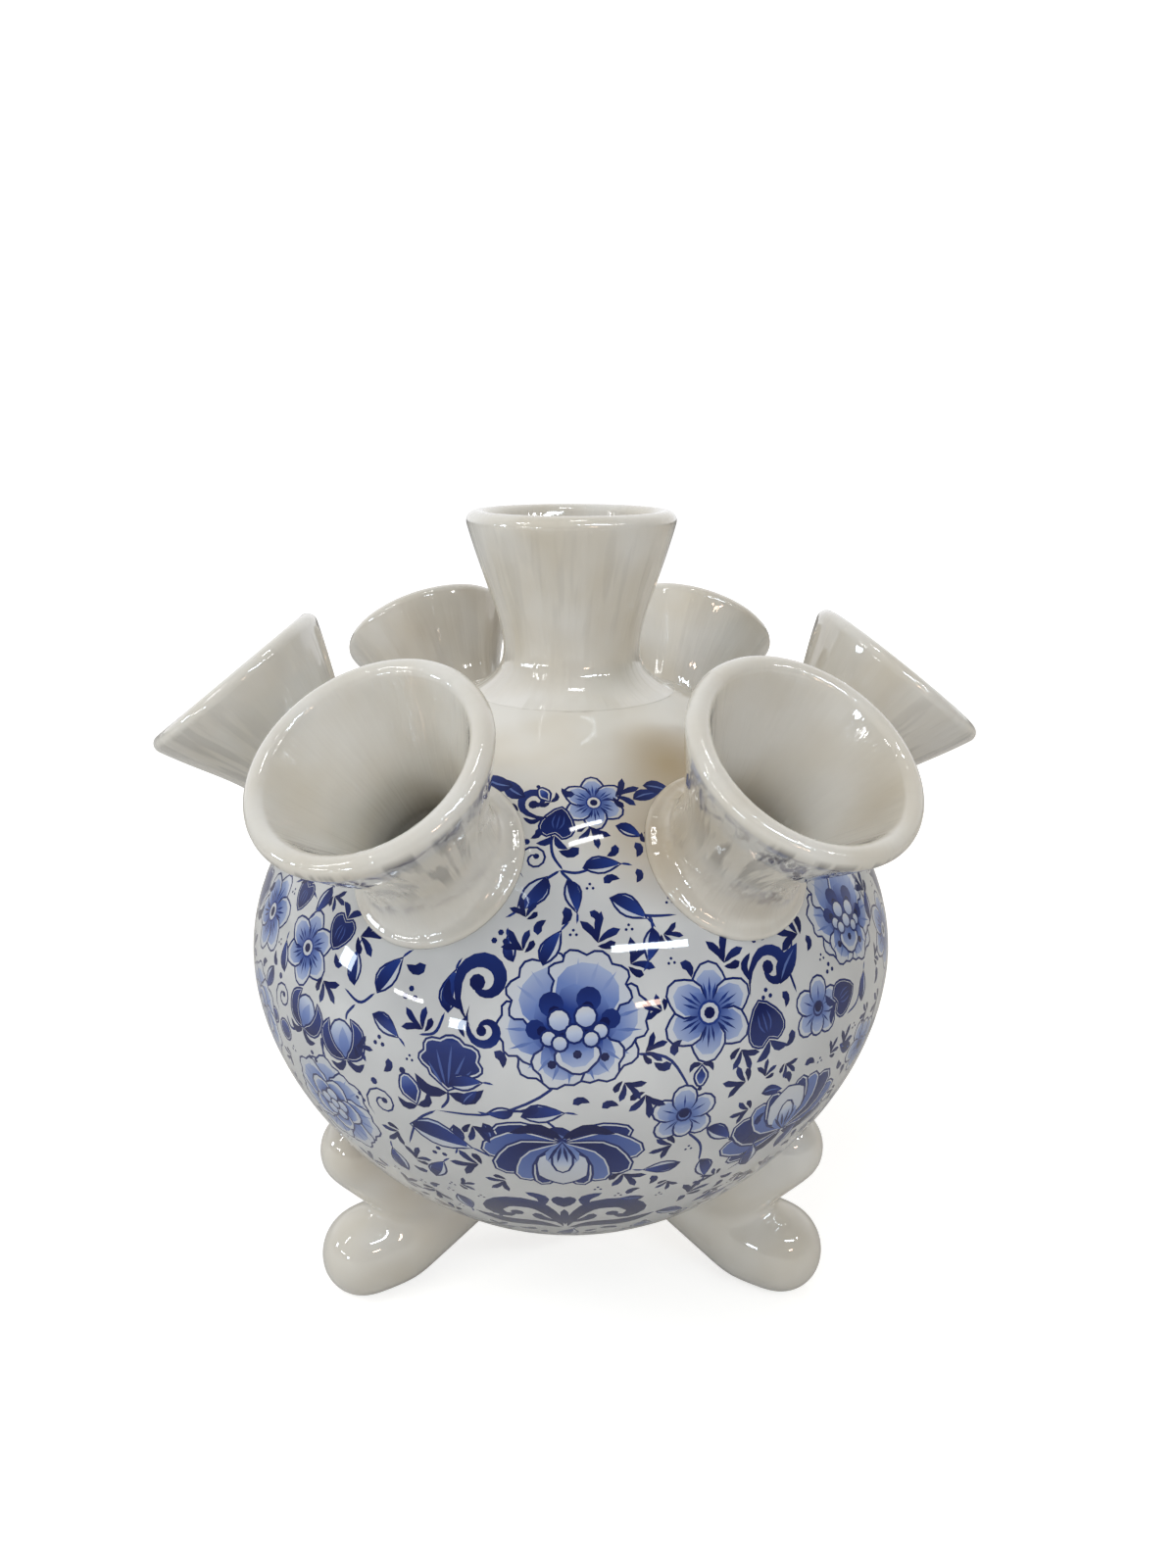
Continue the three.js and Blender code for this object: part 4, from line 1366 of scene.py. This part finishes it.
def seen_strength(tree, strength, mirrored):
    """A strength for the camera's rays, and in part for mirrored ones, with what tells the former."""
    path = add_node(tree, "LightPath")
    glossy = add_node(
        tree, "Math", operation="MULTIPLY", inputs={1: mirrored}, links={0: path.outputs["Is Glossy Ray"]}
    )
    seen = add_node(
        tree, "Math", operation="MAXIMUM", links={0: path.outputs["Is Camera Ray"], 1: glossy.outputs[0]}
    )
    level = add_node(tree, "Math", operation="MULTIPLY", links={0: seen.outputs[0], 1: strength})
    return level.outputs[0], path.outputs["Is Camera Ray"]


print("white behind the vase is for the camera and for mirrored rays alone")

# %% The room: a white backdrop behind the vase, and a dimmer room behind the viewer
ROOM_LEVEL = 0.21
BACKDROP_EDGES = (-0.1, 0.6)  # how far towards +Y a ray goes where the backdrop begins, and is full
world = bpy.data.worlds.new("pale room")
bpy.context.scene.world = world
world.use_nodes = True
tree = world.node_tree
for node in list(tree.nodes):
    tree.nodes.remove(node)
room = add_node(tree, "Background", inputs={"Color": linear("#ECECEE"), "Strength": ROOM_LEVEL})
direction = add_node(tree, "TexCoord").outputs["Generated"]
parts = add_node(tree, "SeparateXYZ", links={0: direction})
backdrop = add_node(
    tree, "MapRange",
    inputs={"From Min": BACKDROP_EDGES[0], "From Max": BACKDROP_EDGES[1], "To Max": 1 - ROOM_LEVEL},
    links={"Value": parts.outputs["Y"]},
)
mirrored, seen = seen_strength(tree, backdrop.outputs["Result"], 1.0)
level = add_node(tree, "Math", operation="MAXIMUM", links={0: mirrored, 1: seen})
add_light(tree, room, "Background", level.outputs[0], add_node(tree, "OutputWorld"))
print("the room gives", ROOM_LEVEL, "of white to the vase")

# %% The floor, a pale card that fades to white away from the vase
FLOOR_SIZE = 6.0  # m
FADE_REACH = (0.12, 0.7)  # m from the vase's axis
FADE_LEVELS = (0.72, 1.0)  # of white, at these two reaches
floor_bm = bmesh.new()
bmesh.ops.create_grid(floor_bm, x_segments=1, y_segments=1, size=FLOOR_SIZE)
floor = put_bmesh("floor", floor_bm)
floor_material = bpy.data.materials.new("pale matt card")
floor_material.use_nodes = True
tree = floor_material.node_tree
card = tree.nodes["Principled BSDF"]
card.inputs["Base Color"].default_value = linear("#C2C0BB")
card.inputs["Roughness"].default_value = 0.9
place = add_node(tree, "TexCoord").outputs["Object"]
away = add_node(tree, "VectorMath", operation="LENGTH", links={0: place})
fade = add_node(
    tree, "MapRange",
    inputs={
        "From Min": FADE_REACH[0], "From Max": FADE_REACH[1],
        "To Min": FADE_LEVELS[0], "To Max": FADE_LEVELS[1],
    },
    links={"Value": away.outputs["Value"]},
)
strength, _ = seen_strength(tree, fade.outputs["Result"], 0.1)
add_light(tree, card, "Emission", strength, tree.nodes["Material Output"])
floor.data.materials.append(floor_material)
print(floor_material.name, "has", len(tree.nodes), "nodes")

# %% The lamps


def add_lamp(name, size, watts, place, aim=(0, 0, 95), colour="#FFFFFF", mirrored=True, roll=0.0):
    """A rectangular lamp at a place, facing a point, in millimetres."""
    data = bpy.data.lights.new(name, "AREA")
    data.shape = "RECTANGLE"
    data.size = size[0] * MM
    data.size_y = size[1] * MM
    data.energy = watts
    data.color = linear(colour)[:3]
    lamp = put(name, data)
    place, aim = Vector(place) * MM, Vector(aim) * MM
    facing = (aim - place).to_track_quat("-Z", "Y").to_matrix().to_4x4()
    lamp.matrix_world = Matrix.Translation(place) @ facing @ Matrix.Rotation(math.radians(roll), 4, "Z")
    lamp.visible_glossy = mirrored


add_lamp("soft ceiling", (700, 500), 3.4, (-380, -430, 980), mirrored=False)
add_lamp("low front fill", (900, 200), 1.0, (100, -900, 120), (0, 0, 20), mirrored=False)
add_lamp("window left", (300, 420), 1.45, (-800, 60, 520), mirrored=False)
add_lamp("window behind", (700, 500), 2.8, (120, 900, 620), mirrored=False)
add_lamp("tube overhead", (170, 20), 0.3, (60, -260, 1050))
add_lamp("second tube overhead", (170, 20), 0.3, (60, -180, 1050))
add_lamp("tube over the front", (360, 36), 1.5, (314, -619, 587), (10, -60, 102), "#E4F2FF", roll=-13)
add_lamp("doorway left", (90, 90), 0.5, (-827, -133, 222), (-42, -50, 95), "#E4F2FF")
add_lamp("slit far left", (165, 24), 0.28, (-698, -485, 208), (-30, -59, 92))
add_lamp("pane front left", (83, 66), 0.36, (-526, -684, 127), (-22, -63, 90), "#E4F2FF")
add_lamp("warm lamp front", (124, 36), 0.32, (303, -781, 299), (9, -65, 93), "#FFD9BE")
add_lamp("tube left", (24, 260), 0.4, (-645, -320, 600), (-45, -21, 5))
add_lamp("lamp right", (60, 40), 0.3, (620, -420, 560), (45, -25, 5))
add_lamp("warm wall right", (300, 400), 0.9, (700, 250, 380), colour="#F2DDB4", mirrored=False)

# %% [markdown]
# Last, the picture is shown without a film look.

# %% Show the picture without a film look
bpy.context.scene.view_settings.view_transform = "Standard"
bpy.context.view_layer.update()
